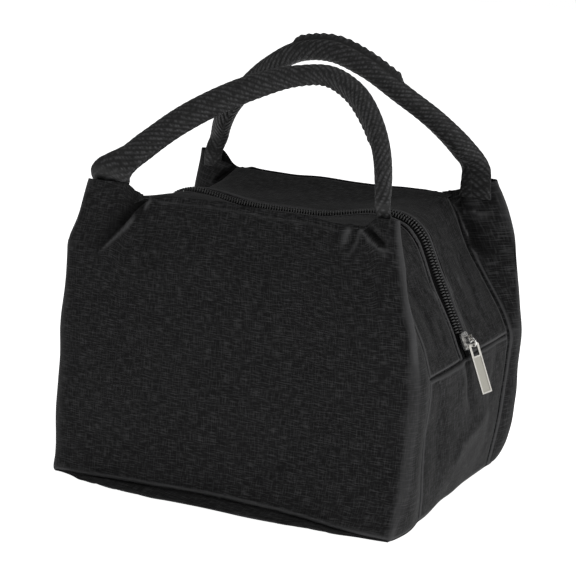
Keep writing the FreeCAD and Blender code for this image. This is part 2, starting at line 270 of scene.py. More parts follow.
# Folds of the zip panels on the right end: y, height, depth
zip_folds = {
    "zip_front": (
        (((-26, 138, -0.3), (-15, 127, -1.4), (-8, 118, -0.3)), 4.0, 4.0, 0.0),
        (((-46, 150, 0.8), (-34, 118, 1.4), (-38, 98, 0.2)), 5.0, 5.0, 0.2),
        (((-22, 112, 0.8), (-26, 92, 0.2)), 3.0, 3.0, 0.3),
    ),
    "zip_back": (
        (((20, 142, -0.3), (24, 128, -1.3), (28, 112, -0.2)), 4.5, 4.5, 0.0),
        (((40, 136, 1.2), (38, 110, 1.2), (44, 94, 0.2)), 4.0, 4.0, 0.2),
        (((16, 112, 0.9), (20, 94, 0.2)), 3.0, 3.0, 0.3),
    ),
}

# Crease above the roll at the foot of the front and back: x, height, and how far the roll reaches out
foot_crease = (
    (-122, 0.3, 0), (-110, 0.5, 0.8), (-91, 1, 5.5), (-70, 1.9, 8.8), (-46, 2.9, 9.7), (-13, 3.9, 9.8),
    (18, 4.1, 9.6), (52, 3, 7.6), (72, 1.6, 5), (90, 0.6, 2.6), (110, 0.5, 0.8), (122, 0.3, 0),
)
foot_groove = 2.2


def along(table, at):
    """Smooth values at given keys from a table whose first column rises."""
    table = np.array(table, float)
    keys, rows = table[:, 0], table[:, 1:]
    slope = np.gradient(rows, keys, axis=0)
    at = np.clip(np.asarray(at, float), keys[0], keys[-1])
    low = np.clip(np.searchsorted(keys, at) - 1, 0, len(keys) - 2)
    step = (keys[low + 1] - keys[low])[..., None]
    t = (at - keys[low])[..., None] / step
    back = 1 - t
    return (rows[low] * back * back * (1 + 2 * t) + rows[low + 1] * t * t * (3 - 2 * t)
            + step * t * back * (slope[low] * back - slope[low + 1] * t))


def ease(t):
    """A smooth step from 0 to 1."""
    t = np.clip(t, 0.0, 1.0)
    return t * t * (3 - 2 * t)


def mix(a, b, t):
    """A value or point between two others."""
    return a + (b - a) * t


def bell(distance, width):
    """A smooth bump of height 1."""
    return np.exp(-(distance / width) ** 2)


def bump_at(values, place):
    """A smooth bump of height 1 at a place with a reach."""
    middle, reach = place
    return bell(values - middle, reach)


def unit(vectors):
    """Vectors of length 1."""
    return vectors / np.maximum(np.linalg.norm(vectors, axis=-1, keepdims=True), 1e-9)


def measured(points):
    """Length along a row of points, starting at 0."""
    steps = np.linalg.norm(np.diff(points, axis=0), axis=1)
    return np.concatenate([[0.0], np.cumsum(steps)])


def spread(points, count):
    """The same line as count points at equal steps."""
    length = measured(points)
    at = np.linspace(0, length[-1], count)
    return np.stack([np.interp(at, length, points[:, k]) for k in range(3)], axis=1)


def side_name(sign):
    """Name of the front or back by its sign."""
    return "front" if sign < 0 else "back"


def low_heights():
    """Heights of the rows below the end seam, closer together at the floor."""
    t = np.linspace(0, 1, lower_rows + 1)
    return seam_height * (0.55 * t + 0.45 * t * t)


def corner_point(table, height):
    """Point of an upright corner at a height."""
    x, y = along(table, height).T
    return np.stack([x, y, np.asarray(height, float)], axis=-1)


def gusset_seam(side, depth_sign, tuck):
    """Seam between the wrapped cloth and the end, from the floor to the tuck."""
    table = end_seam[side_name(depth_sign)]
    heights = low_heights()
    x, y = along(table, heights).T
    low = np.stack([side * x, depth_sign * y, heights], axis=1)
    fine = np.linspace(seam_height, table[-1][0], 60)
    x, y = along(table, fine).T
    high = np.stack([side * x, depth_sign * y, fine], axis=1)
    high = spread(np.vstack([high, tuck]), upper_rows + 1)
    return np.vstack([low, high[1:]])


def rim_point(x, depth_sign):
    """Point of the front or back rim."""
    height = along(front_rim if depth_sign < 0 else back_rim, x)[..., 0]
    return np.stack([x, np.full_like(height, depth_sign * rim_depth), height], axis=-1)


def wall_columns(depth_sign):
    """Top line of a wall from ear to ear: x and height of every column."""
    left_tuck, left_ear, left_top = ears["left_" + side_name(depth_sign)]
    right_tuck, right_ear, right_top = ears["right_" + side_name(depth_sign)]
    left = np.linspace(-ear_end, left_tuck, ear_columns + 1)[:-1]
    middle = np.linspace(left_tuck, right_tuck, rim_columns + 1)
    right = np.linspace(right_tuck, ear_end, ear_columns + 1)[1:]
    rim = rim_point(middle, depth_sign)[:, 2]
    left_height = mix(left_top, rim[0], ease((left - left_ear) / (left_tuck - left_ear)))
    right_height = mix(right_top, rim[-1], ease((right - right_ear) / (right_tuck - right_ear)))
    return np.concatenate([left, middle, right]), np.concatenate([left_height, rim, right_height])


def wall_grid(depth_sign):
    """A front or back cloth panel with the strips that wrap round its corners, as rows from floor to top."""
    name = side_name(depth_sign)
    left_table = corner_left_front if depth_sign < 0 else corner_left_back
    right_table = corner_right_front if depth_sign < 0 else corner_right_back
    top_x, top_height = wall_columns(depth_sign)
    share = (top_x - top_x[0]) / (top_x[-1] - top_x[0])
    tucks = rim_point(np.array([ears["left_" + name][0], ears["right_" + name][0]]), depth_sign)
    left_seam = gusset_seam(-1, depth_sign, tucks[0])
    right_seam = gusset_seam(1, depth_sign, tucks[1])
    heights = low_heights()
    wrap = np.arange(1, wrap_columns + 1)[:, None] / wrap_columns
    wrap_bow = np.sin(np.pi * wrap[:, 0])
    rows = []
    for row in range(lower_rows + upper_rows + 1):
        rise = max(0.0, (row - lower_rows) / upper_rows)
        level = heights[row] if rise <= 0 else seam_height + rise * (top_height - seam_height)
        level = np.broadcast_to(level, top_x.shape)
        left, right = corner_point(left_table, level), corner_point(right_table, level)
        middle = mix(left, right, share[:, None])
        upright = np.sin(np.pi * np.clip(level / puff_height, 0, 1)) ** 0.8
        puff = wall_puff * np.sin(np.pi * share) ** 0.6 * upright
        middle[:, 1] += depth_sign * puff
        behind = -depth_sign * ear_set_back * ease((rise - 0.55) / 0.35)
        strips = []
        for corner, seam in ((middle[0], left_seam[row]), (middle[-1], right_seam[row])):
            strip = mix(corner, seam, wrap)
            strip[:, 1] += behind * np.clip(wrap_bow, 0, 1) ** 0.5
            strip[:, 0] += np.sign(corner[0]) * wrap_swell * wrap_bow * (1 - ease((rise - 0.05) / 0.3))
            strips.append(strip)
        rows.append(np.vstack([strips[0][::-1], middle, strips[1]]))
    return soften_corners(np.array(rows))


def soften_corners(grid):
    """Round the two upright corners of a wall, least at the ears."""
    columns = grid.shape[1]
    index = np.arange(columns)
    near = np.minimum(abs(index - wrap_columns), abs(index - (columns - 1 - wrap_columns)))
    weight = np.clip(1 - near / corner_reach, 0, 1)[None, :, None]
    rows = np.arange(grid.shape[0]) / (grid.shape[0] - 1)
    strength = mix(*corner_strength, ease((rows - 0.4) / 0.4)) * ease((rows + 0.02) / 0.2)
    weight = weight * strength[:, None, None]
    for _ in range(corner_passes):
        middle = (grid[:, :-2] + grid[:, 2:]) / 2
        grid[:, 1:-1] += (middle - grid[:, 1:-1]) * weight[:, 1:-1]
    return grid


def zip_line(x):
    """Height of the zip's middle line at an x on the top."""
    return along(zip_top, x)[..., 0]


def zip_path(from_x, to_x, count):
    """Points of the zip's middle line between an end seam and a place on the top, at equal steps."""
    side = np.sign(from_x)
    run_x = np.linspace(run_foot_x, run_turn_x, 80)
    run_height = seam_height + (run_foot_x - run_x) / run_slope
    top_x = np.linspace(run_turn_x, side * to_x, 160)[1:]
    x = np.concatenate([run_x, top_x])
    height = np.concatenate([run_height, zip_line(side * top_x)])
    return spread(np.stack([side * x, np.zeros_like(x), height], axis=1), count)


def zip_grid(depth_sign, wall):
    """Half of the zip panel: columns from the right end seam over the top, rows from the rim to the zip."""
    right = wall[lower_rows:, -1]
    left = wall[lower_rows:, 0]
    first_rim = wrap_columns + ear_columns
    rim = wall[-1, first_rim:first_rim + rim_columns + 1]
    outer = np.vstack([right[:-1], rim[::-1], left[::-1][1:]])
    up = zip_path(run_foot_x, rim[-1, 0], upper_rows + 1)
    down = zip_path(-run_foot_x, rim[0, 0], upper_rows + 1)
    over_x = np.linspace(rim[-1, 0], rim[0, 0], rim_columns + 1)
    over = np.stack([over_x, np.zeros_like(over_x), zip_line(over_x)], axis=1)
    inner = np.vstack([up[:-1], over, down[::-1][1:]])
    gape = wide_gap * bump_at(inner[:, 2], front_gape) * (inner[:, 0] > 0) * (depth_sign < 0)
    open_top = wide_gap * bump_at(inner[:, 0], back_gape) * (inner[:, 2] > top_level) * (depth_sign > 0)
    inner[:, 1] = depth_sign * (cloth_edge + gape + open_top)
    share = np.linspace(0, 1, zip_rows + 1)[:, None, None]
    grid = mix(outer[None], inner[None], share)
    on_top = ease((grid[..., 2] - bow_from) / bow_over)
    bow = mix(-top_sag, top_swell, bump_at(grid[..., 0], top_swell_place) * (depth_sign < 0))
    grid[..., 2] += bow * np.sin(np.pi * share[..., 0]) * on_top
    return round_turns(grid, share)


def round_turns(grid, share):
    """Round the two places where a zip panel turns from an end on to the top."""
    column = np.arange(grid.shape[1])
    turns = bell(column - upper_rows, turn_reach) + bell(column - upper_rows - rim_columns, turn_reach)
    weight = turn_strength * turns[None, 1:-1, None] * ease(share * 4) * ease((1 - share) * 6)
    for _ in range(turn_passes):
        middle = (grid[:, :-2] + grid[:, 2:]) / 2
        grid[:, 1:-1] += (middle - grid[:, 1:-1]) * weight
    return grid


def end_grid(side, front, back):
    """An end panel below its seam, rows from the floor up, columns from front to back."""
    column = -1 if side > 0 else 0
    first, last = front[:lower_rows + 1, column], back[:lower_rows + 1, column]
    share = np.linspace(0, 1, end_columns + 1)[None, :, None]
    grid = mix(first[:, None], last[:, None], share)
    heights = grid[..., 2]
    bow = np.sin(np.pi * share[..., 0])
    swell = end_swell * bow * np.sin(np.pi * np.clip(heights / seam_height, 0, 1)) ** 0.7
    near_seam = ease(bow * 1.6) * ease((heights - 40) / (seam_height - 40))
    at_seam = (run_foot_x - np.abs(grid[-1:, :, 0])) * near_seam
    drawn_in = foot_draw * bow * (1 - ease(heights / 30))
    grid[..., 0] += side * (swell + at_seam - drawn_in)
    return grid


def bottom_grid(front, back, right, left):
    """The bottom cloth between the lowest rows of the walls and ends."""
    first = front[0, wrap_columns:-wrap_columns]
    last = back[0, wrap_columns:-wrap_columns]
    right_side = np.vstack([front[0, -wrap_columns - 1:-1], right[0], back[0, -wrap_columns - 1:-1][::-1]])
    left_side = np.vstack([front[0, 1:wrap_columns + 1][::-1], left[0], back[0, 1:wrap_columns + 1]])
    u = np.linspace(0, 1, len(first))[None, :, None]
    v = np.linspace(0, 1, len(right_side))[:, None, None]
    grid = mix(first[None], last[None], v) + mix(left_side[:, None], right_side[:, None], u)
    return grid - mix(mix(first[0], first[-1], u), mix(last[0], last[-1], u), v)


def shell_patches():
    """Every sewn patch of the shell as a grid of points that share their edges."""
    front, back = wall_grid(-1), wall_grid(1)
    right, left = end_grid(1, front, back), end_grid(-1, front, back)
    return {
        "front": front, "back": back, "right_end": right, "left_end": left,
        "zip_front": zip_grid(-1, front), "zip_back": zip_grid(1, back),
        "bottom": bottom_grid(front, back, right, left),
    }


def grid_normals(grid):
    """Unit normals of a grid of points."""
    return unit(np.cross(np.gradient(grid, axis=1), np.gradient(grid, axis=0)))


def outward(grid):
    """Normals that point away from the middle of the bag."""
    normal = grid_normals(grid)
    away = grid - np.array(shell_middle)
    return normal if (normal * away).sum() > 0 else -normal


def shared_normals():
    """Normals of every patch, the same for both sides of a seam."""
    patches = shell()
    points = np.concatenate([grid.reshape(-1, 3) for grid in patches.values()])
    normals = np.concatenate([outward(grid).reshape(-1, 3) for grid in patches.values()])
    _, place = np.unique(np.round(points, 3), axis=0, return_inverse=True)
    place = place.ravel()
    total = np.zeros((place.max() + 1, 3))
    np.add.at(total, place, normals)
    normals = unit(total)[place]
    result = {}
    start = 0
    for name, grid in patches.items():
        count = grid.shape[0] * grid.shape[1]
        result[name] = normals[start:start + count].reshape(grid.shape)
        start += count
    return result


def cubic(points, at):
    """Points along the first axis of a grid at fractional places, on a smooth curve through them."""
    padded = np.concatenate([2 * points[:1] - points[1:2], points, 2 * points[-1:] - points[-2:-1]])
    low = np.clip(np.floor(at).astype(int), 0, len(points) - 2)
    t = (at - low).reshape((-1,) + (1,) * (points.ndim - 1))
    a, b, c, d = (padded[low + k] for k in range(4))
    return b + 0.5 * t * (c - a + t * (2 * a - 5 * b + 4 * c - d + t * (3 * (b - c) + d - a)))


def fine_steps(count):
    """Places along a patch for its fine grid, closer together at both edges."""
    steps = np.linspace(0, count, count * refine_by + 1)
    edge = np.array(edge_lines)
    return np.unique(np.round(np.concatenate([steps, edge, count - edge]), 4))


def refined(grid):
    """The same patch on its fine grid."""
    rows = cubic(grid, fine_steps(grid.shape[0] - 1))
    return np.swapaxes(cubic(np.swapaxes(rows, 0, 1), fine_steps(grid.shape[1] - 1)), 0, 1)


def edge_distances(grid):
    """Distance of every point from the patch's first and last row and first and last column."""
    down = np.linalg.norm(np.diff(grid, axis=0), axis=2)
    side = np.linalg.norm(np.diff(grid, axis=1), axis=2)
    rows = np.concatenate([np.zeros((1, grid.shape[1])), np.cumsum(down, axis=0)])
    columns = np.concatenate([np.zeros((grid.shape[0], 1)), np.cumsum(side, axis=1)], axis=1)
    return rows, rows[-1:] - rows, columns, columns[:, -1:] - columns


def on_patch(grid, axes, place):
    """The point of a patch nearest to a place that is given on two axes."""
    flat = grid.reshape(-1, 3)
    return flat[np.argmin(np.linalg.norm(flat[:, axes] - np.array(place), axis=1))]


def fold_lift(grid, normal, points, depths, outer_width, inner_width, swell):
    """What a fold adds along the normals: a valley down its line and a swell on its inner side."""
    middle = grid[grid.shape[0] // 2, grid.shape[1] // 2]
    nearest = np.full(grid.shape[:2], np.inf)
    inside = np.zeros(grid.shape[:2])
    depth = np.zeros(grid.shape[:2])
    for start, end, first, last in zip(points, points[1:], depths, depths[1:]):
        way = end - start
        t = np.clip(((grid - start) @ way) / (way @ way), 0, 1)
        away = grid - start - t[..., None] * way
        distance = np.linalg.norm(away, axis=2)
        across = np.cross(way, normal)
        facing = (across * away).sum(2) * (across @ (middle - start))
        nearer = distance < nearest
        inside = np.where(nearer, facing, inside)
        depth = np.where(nearer, mix(first, last, t), depth)
        nearest = np.where(nearer, distance, nearest)
    width = np.where(inside > 0, inner_width, outer_width)
    bulge = swell * (inside > 0) * bell(nearest - 2.4 * inner_width, 1.3 * inner_width)
    return depth * (bulge - bell(nearest, width))


def folds_on(grid, normal, table, axes):
    """Lift of every fold of a table whose places are given on two axes, or on all three."""
    lift = np.zeros(grid.shape[:2])
    for places, outer_width, inner_width, swell in table:
        places = np.array(places, float)
        points = places[:, :3] if places.shape[1] == 4 else [on_patch(grid, axes, p[:2]) for p in places]
        lift += fold_lift(grid, normal, np.array(points), places[:, -1], outer_width, inner_width, swell)
    return lift


def ripple(points):
    """Slow unevenness of the cloth, the same on both sides of a seam."""
    random = np.random.default_rng(ripple_seed)
    lift = np.zeros(points.shape[:2])
    shortest, longest = ripple_lengths
    for _ in range(ripple_waves):
        way = unit(random.normal(size=3))
        length = random.uniform(shortest, longest)
        phase = random.uniform(0, 2 * math.pi)
        lift += length / longest * np.sin(points @ way * 2 * math.pi / length + phase)
    return lift / ripple_scale


def tuck_table(name):
    """Folds of a wall: those at its two tucks, placed in the frame, and its own."""
    table = []
    for side in ("left_", "right_"):
        tuck = ears[side + name][0]
        out = math.copysign(1, tuck)
        top = rim_point(np.array([tuck]), sides[name])[0, 2]
        for places, outer_width, inner_width, swell in tuck_folds[side + name]:
            placed = [(tuck + out * x, top - down, depth) for x, down, depth in places]
            table.append((placed, outer_width, inner_width, swell))
    return table + list(front_folds if name == "front" else back_folds)


def wall_folds(name, grid, normal):
    """Lift of a wall's folds, and a mask of painted shade where the cloth lies deep in one."""
    front_side = np.abs(normal[..., 1]) > 0.6
    flat = np.where(front_side[..., None], grid, far_away)
    lift = np.zeros(grid.shape[:2])
    hollow = np.zeros(grid.shape[:2])
    for fold in tuck_table(name):
        places = np.array(fold[0])
        points = np.array([on_patch(flat, [0, 2], p[:2]) for p in places])
        added = fold_lift(grid, normal, points, places[:, 2], *fold[1:])
        lift += added
        # The deeper the cloth lies in a fold, the more painted shade it gets
        deepest = places[:, 2].max()
        if deepest > 2:
            hollow = np.maximum(hollow, np.clip(-added / deepest, 0, 1) ** 0.35)
    if name == "back":
        lift += folds_on(grid, normal, (ear_hollow, ear_tuck), [0, 2])
    return lift, hollow


def wall_lift(name, grid, normal):
    """Folds and seams of a wall along its normals, and the moves of its foot and its rim."""
    cloth = bpy.context.scene.lunch_bag_cloth
    foot, top, left, right = edge_distances(grid)
    lift, made["hollow_" + name] = wall_folds(name, grid, normal)
    lift *= cloth.fold_depth * ease(foot / 4) * ease(left / 4) * ease(right / 4)
    sign = sides[name]
    crease, reach = np.moveaxis(along(foot_crease, -sign * grid[..., 0]), -1, 0)
    under = np.clip(grid[..., 2] / crease, 0, 1)
    facing = np.abs(outward(grid)[..., 1])
    roll = reach * roll_share[name] * facing * np.sin(np.pi * under ** 0.55)
    lift -= foot_groove * np.clip(reach / 10, 0, 1) * facing * bell(grid[..., 2] - crease - 0.6, 1.0)
    lift -= cloth.seam_depth / MM * (bell(left, 1.2) + bell(right, 1.2) + 0.6 * bell(foot, 1.6))
    left_tuck, right_tuck = ears["left_" + name][0], ears["right_" + name][0]
    at_rim = ease((grid[-1:, :, 0] - left_tuck) / 5) * ease((right_tuck - grid[-1:, :, 0]) / 5)
    lift -= 0.8 * cloth.seam_depth / MM * bell(top, 2.0) * at_rim
    lip = lip_height[name] * bell(top, 1.8) * at_rim
    return lift, np.stack([0 * lip, sign * roll, lip], axis=-1)


def zip_lift(name, grid, normal):
    """Folds and seams of a zip panel, its folded edge beside the zip and the stitch line along it."""
    cloth = bpy.context.scene.lunch_bag_cloth
    rim, edge, first, last = edge_distances(grid)
    seam = cloth.seam_depth / MM
    right_end = np.where((grid[..., 0] > 60)[..., None], grid, far_away)
    lift = folds_on(right_end, normal, zip_folds[name], [1, 2]) * cloth.fold_depth
    lift *= ease(rim / 6) * ease(edge / 6) * ease(first / 6) * ease(last / 6)
    lift -= 0.8 * seam * bell(rim, 1.3)
    lift -= 1.5 * seam * (bell(first, 0.9) + bell(last, 0.9)) * ease(rim / 4)
    lift += 0.5 * bell(edge - 2.4, 1.4) - 0.7 * bell(edge - stitch_inset, 0.8) - 1.0 * bell(edge, 1.1)
    return lift


def end_lift(side, grid, normal):
    """Folds and seams of an end panel."""
    cloth = bpy.context.scene.lunch_bag_cloth
    foot, top, first, last = edge_distances(grid)
    table = right_end_folds if side == "right" else left_end_folds
    inner = ease(foot / 6) * ease(top / 3) * ease(first / 5) * ease(last / 5)
    lift = folds_on(grid, normal, table, [1, 2]) * cloth.fold_depth * inner
    seam = cloth.seam_depth / MM
    lift -= seam * (bell(first, 1.2) + bell(last, 1.2) + 0.6 * bell(foot, 1.6))
    lift -= 1.5 * seam * bell(top, 0.9) * ease(np.minimum(first, last) / 4)
    return lift


def dressed(name):
    """A patch of the shell on its fine grid, with its folds and seams."""
    cloth = bpy.context.scene.lunch_bag_cloth
    grid = refined(shell()[name])
    normal = unit(refined(once(shared_normals)[name]))
    lift = ripple(grid) * cloth.ripple / MM
    moved = 0.0
    if name in ("front", "back"):
        added, moved = wall_lift(name, grid, normal)
    elif name.startswith("zip"):
        added = zip_lift(name, grid, normal)
    elif name.endswith("end"):
        added = end_lift(name.split("_")[0], grid, normal)
    else:
        lift *= 0.0
        added = -0.6 * cloth.seam_depth / MM * sum(bell(d, 1.6) for d in edge_distances(grid))
    grid = grid + normal * (lift + added)[..., None] + moved
    grid[..., 2] = np.maximum(grid[..., 2], 0.0)
    return grid


def ridges(grid):
    """How sharply the cloth turns outwards at every point, from 0 to 1."""
    normal = outward(grid)
    bend = np.zeros(grid.shape[:2])
    for axis in (0, 1):
        step = np.gradient(grid, axis=axis)
        second = np.gradient(step, axis=axis)
        bend -= (second * normal).sum(2) / np.maximum((step * step).sum(2), 0.05)
    return np.clip((bend - ridge_from) / ridge_over, 0, 1)


def shell():
    """The patches of the shell, worked out once."""
    return once(shell_patches)


def make_object(name, data):
    """A new object at the origin."""
    new = bpy.data.objects.new(name, data)
    bpy.context.scene.collection.objects.link(new)
    return new


def finish_mesh(mesh, flat, masks, finish):
    """Give a mesh its map of the cut in metres, its masks, smooth faces and a finish."""
    layer = mesh.uv_layers.new(name="cut")
    corner = np.zeros(len(mesh.loops), np.int32)
    mesh.loops.foreach_get("vertex_index", corner)
    layer.data.foreach_set("uv", (flat[corner] * MM).astype(np.float32).ravel())
    for name, values in masks.items():
        attribute = mesh.attributes.new(name, "FLOAT", "POINT")
        attribute.data.foreach_set("value", np.asarray(values, np.float32).ravel())
    mesh.polygons.foreach_set("use_smooth", np.ones(len(mesh.polygons), bool))
    mesh.materials.append(finish)
    mesh.update()


def cloth_mesh(name, grid, thickness, finish, turn_cloth=False, normal=None, hollow=0.0):
    """A closed sheet of cloth from a grid of its outer face, shaded by the normals of the whole patch."""
    rows, columns = grid.shape[:2]
    count = rows * columns
    normal = outward(grid) if normal is None else normal
    points = np.concatenate([grid.reshape(-1, 3), (grid - normal * thickness).reshape(-1, 3)]) * MM
    index = np.arange(count).reshape(rows, columns)
    quads = np.stack([index[:-1, :-1], index[:-1, 1:], index[1:, 1:], index[1:, :-1]], axis=-1).reshape(-1, 4)
    rim = np.concatenate([index[0, :], index[1:, -1], index[-1, -2::-1], index[-2:0:-1, 0]])
    after = np.roll(rim, -1)
    band = np.stack([after, rim, rim + count, after + count], axis=1)
    faces = np.concatenate([quads, quads[:, ::-1] + count, band])
    if (grid_normals(grid) * normal).sum() < 0:
        faces = faces[:, ::-1]
    mesh = bpy.data.meshes.new(name)
    mesh.from_pydata(points.tolist(), [], faces.tolist())
    lengths = np.meshgrid(measured(grid[rows // 2]), measured(grid[:, columns // 2]))
    flat = np.stack(lengths, axis=-1).reshape(-1, 2)
    flat = flat[:, ::-1] if turn_cloth else flat
    # Painted shade of the deep folds, which also holds back the lightening of the ridges
    hollow = np.broadcast_to(hollow, grid.shape[:2]).ravel()
    # Lightening where the cloth turns outwards: partly wear, partly a painted highlight
    ridge = ridges(grid).ravel() * np.clip(1 - 4 * hollow, 0, 1)
    masks = {"ridge": np.concatenate([ridge, 0 * ridge]), "hollow": np.concatenate([hollow, 0 * hollow])}
    finish_mesh(mesh, np.concatenate([flat, flat]), masks, finish)
    facing = np.concatenate([normal.reshape(-1, 3), -normal.reshape(-1, 3)])
    mesh.normals_split_custom_set_from_vertices(facing.tolist())
    return make_object(name, mesh)


# Handles: x along the bag and height up the leaning plane, from the frame's middle lines
front_handle_line = (
    (-91, -7), (-91, -4), (-90.4, 0), (-86.5, 7), (-78.5, 16), (-69.3, 26.6), (-55, 41.5), (-34, 57.8),
    (-11, 71), (13, 80), (34, 82), (51, 74.5), (68, 57.5), (79.5, 39), (86.5, 20), (89.5, 8), (90, 0),
    (90, -6), (90, -12),
)
back_handle_line = (
    (-92, -12), (-92, -6), (-91.5, 0), (-89, 8), (-85.5, 17), (-79.5, 27.5), (-62, 47), (-40.5, 65.2),
    (-16, 78), (7, 79.5), (25, 71.8), (48.5, 54), (72, 35), (86, 19), (92.5, 9), (94.5, 0), (95, -6),
    (95, -12),
)
handle_lean = {"front": 35.0, "back": 22.0}

# Half width of the webbing along each handle, as shares of its length
handle_widths = {
    "front": (
        (0, 8), (0.012, 12.8), (0.022, 15), (0.045, 14.6), (0.06, 12.6), (0.09, 9.9), (0.14, 8.9),
        (0.26, 8.8), (0.4, 8.1), (0.52, 6), (0.7, 6), (0.8, 5.2), (0.9, 4.7), (1, 4.6),
    ),
    "back": (
        (0, 6.5), (0.1, 6.3), (0.25, 6.2), (0.45, 6.6), (0.54, 7.6), (0.65, 7), (0.75, 6.8), (0.87, 8),
        (0.95, 9.8), (1, 10.5),
    ),
}

# Thickness of the webbing in its middle and at its flat ends, its rings, and how far its ends lie in the
# ears, from how far below the hinge and over how much height
handle_thickness = 11.0
handle_flat = 2.6
handle_rows = 640
handle_columns = 96
tucked_in = 5.0
tuck_below = 5
tuck_over = 14

# Length of the flat ends and over how much length the webbing fills out, then how far below the hinge the
# handle starts to lean and over how much length it does
flat_end = 12
fill_over = 26
lean_below = 4
lean_over = 14

# Loose edge of the folded webbing: turn round the handle along its length, where it starts and ends, its
# share of the full height, the share of the length in which it rises, and its width as a turn
fin_turn = {
    "front": ((0, 0.5), (0.3, 0.15), (0.55, 0.0), (0.75, -0.15), (1, -0.3)),
    "back": ((0, 1.3), (0.3, 0.7), (0.5, 0.35), (0.7, 0.45), (0.85, 1.0), (1, 1.4)),
}
fin_span = {"front": (0.13, 0.8), "back": (0.42, 0.69)}
fin_share = {"front": 0.4, "back": 1.0}
fin_ease = 0.02
fin_width = 0.19


def handle_middle(side):
    """Middle line of a handle at equal steps and its direction out of its plane."""
    sign = sides[side]
    line = np.array(front_handle_line if side == "front" else back_handle_line)
    keys = np.concatenate([[0], np.cumsum(np.linalg.norm(np.diff(line, axis=0), axis=1))])
    fine = along(np.column_stack([keys, line]), np.linspace(0, keys[-1], 900))
    lean = math.radians(handle_lean[side])
    bend = ease((fine[:, 1] + lean_below) / lean_over) * lean
    step = np.diff(fine[:, 1], prepend=fine[0, 1])
    rise = np.cumsum(step * np.cos(bend)) + fine[0, 1]
    reach = np.cumsum(step * np.sin(bend))
    hinge = joint_place(side + "_handle_swing")
    points = np.stack([fine[:, 0], hinge[1] - sign * reach, hinge[2] + rise], axis=1)
    out = np.array([0, sign * math.cos(lean), math.sin(lean)])
    return spread(points, handle_rows), out


def handle_grid(side):
    """Rings round the webbing of a handle with its raised seam and slanted ribs, its map and its rib mask."""
    sizes = bpy.context.scene.lunch_bag_handles
    rib_pitch, rib_height, fin_height = sizes.rib_pitch / MM, sizes.rib_height / MM, sizes.seam_height / MM
    slant = sizes.rib_angle
    points, out = handle_middle(side)
    share = np.linspace(0, 1, handle_rows)
    length = measured(points)
    tangent = unit(np.gradient(points, axis=0))
    across = unit(np.cross(tangent, out))
    out = np.cross(across, tangent)
    full = ease((np.minimum(length, length[-1] - length) - flat_end) / fill_over)
    half_width = along(handle_widths[side], share)[:, 0]
    half_thick = mix(handle_flat / 2, handle_thickness / 2, full)
    angle = np.linspace(0, 2 * math.pi, handle_columns, endpoint=False)
    fin_at = along(fin_turn[side], share)[:, 0]
    turn = (angle[None] - fin_at[:, None] + math.pi) % (2 * math.pi) - math.pi
    rib_step = rib_pitch / math.sin(slant)
    first, last = fin_span[side]
    shown = fin_share[side] * ease((share - first) / fin_ease) * ease((last - share) / fin_ease)
    scallop = 1 + 0.07 * np.sin(2 * math.pi * length / rib_step)
    fin = fin_height * (shown * scallop)[:, None] * bell(turn, fin_width)
    wide = abs(turn) / 2 * (half_width + half_thick)[:, None]
    wave = (length[:, None] * math.sin(slant) + wide * math.cos(slant)) / rib_pitch
    crest = np.abs(np.sin(math.pi * wave)) ** 0.7
    crest = crest * (1 - 0.9 * (shown > 0.5)[:, None] * bell(abs(turn) - 0.36, 0.12))
    spine = 1 - 0.8 * bell(math.pi - abs(turn), 0.12)
    lift = rib_height * (crest - 0.5) * mix(0.35, 1.0, full)[:, None] * spine + fin
    side_way = (half_width[:, None] + lift) * np.cos(angle)[None]
    out_way = (half_thick[:, None] + lift) * np.sin(angle)[None]
    grid = points[:, None] + across[:, None] * side_way[..., None] + out[:, None] * out_way[..., None]
    height = grid[..., 2] - joint_place(side + "_handle_swing")[2]
    grid[..., 1] -= sides[side] * tucked_in * (1 - ease((height + tuck_below) / tuck_over))
    cut = np.stack([np.broadcast_to(length[:, None], wave.shape), np.sign(turn) * wide], axis=-1)
    return grid, cut, crest


def tube_object(name, grid, flat, crest, finish):
    """A closed tube from rows of rings."""
    rows, columns = grid.shape[:2]
    ends = np.stack([grid[0].mean(0), grid[-1].mean(0)])
    points = np.concatenate([grid.reshape(-1, 3), ends]) * MM
    index = np.arange(rows * columns).reshape(rows, columns)
    after = np.roll(index, -1, axis=1)
    quads = np.stack([index[:-1], after[:-1], after[1:], index[1:]], axis=-1).reshape(-1, 4).tolist()
    first, last = rows * columns, rows * columns + 1
    caps = [[first, int(b), int(a)] for a, b in zip(index[0], after[0])]
    caps += [[last, int(a), int(b)] for a, b in zip(index[-1], after[-1])]
    mesh = bpy.data.meshes.new(name)
    mesh.from_pydata(points.tolist(), [], quads + caps)
    half = grid[rows // 2]
    facing = np.cross(half[1] - half[0], grid[rows // 2 + 1, 0] - half[0])
    if facing @ (half[0] - half.mean(0)) < 0:
        mesh.flip_normals()
    flat = np.concatenate([flat.reshape(-1, 2), np.zeros((2, 2))])
    finish_mesh(mesh, flat, {"rib": np.append(crest.ravel(), [0, 0])}, finish)
    return make_object(name, mesh)


# Zip tape: from beside the coil to under the cloth, its depth below the zip's line, its thickness, its welt
# and where the cloth covers it. Then where the teeth start above the end seam, how far from the cloth's edge
# the stitches run, how far they stand out, and their length as a share of their step
tape_inner = 0.8
tape_outer = 11.0
tape_drop = 0.9
tape_thickness = 0.6
tape_welt = 3.9
welt_height = 0.35
welt_width = 0.5
tape_covered = 6.5
coil_start = 15.9
stitch_inset = 4.4
stitch_lift = 0.1
stitch_share = 0.8


def whole_zip_path(first, count):
    """Middle line of the zip from a length above the right end seam to the left end seam, at equal steps."""
    right = zip_path(run_foot_x, 0.0, 600)
    left = zip_path(-run_foot_x, 0.0, 600)[::-1]
    path = np.vstack([right, left[1:]])
    length = measured(path)
    at = np.linspace(first, length[-1], count)
    return np.stack([np.interp(at, length, path[:, k]) for k in range(3)], axis=1)


def path_normals(path):
    """Directions out of the bag along the zip's line."""
    return unit(np.cross(np.array([0.0, 1.0, 0.0]), np.gradient(path, axis=0)))


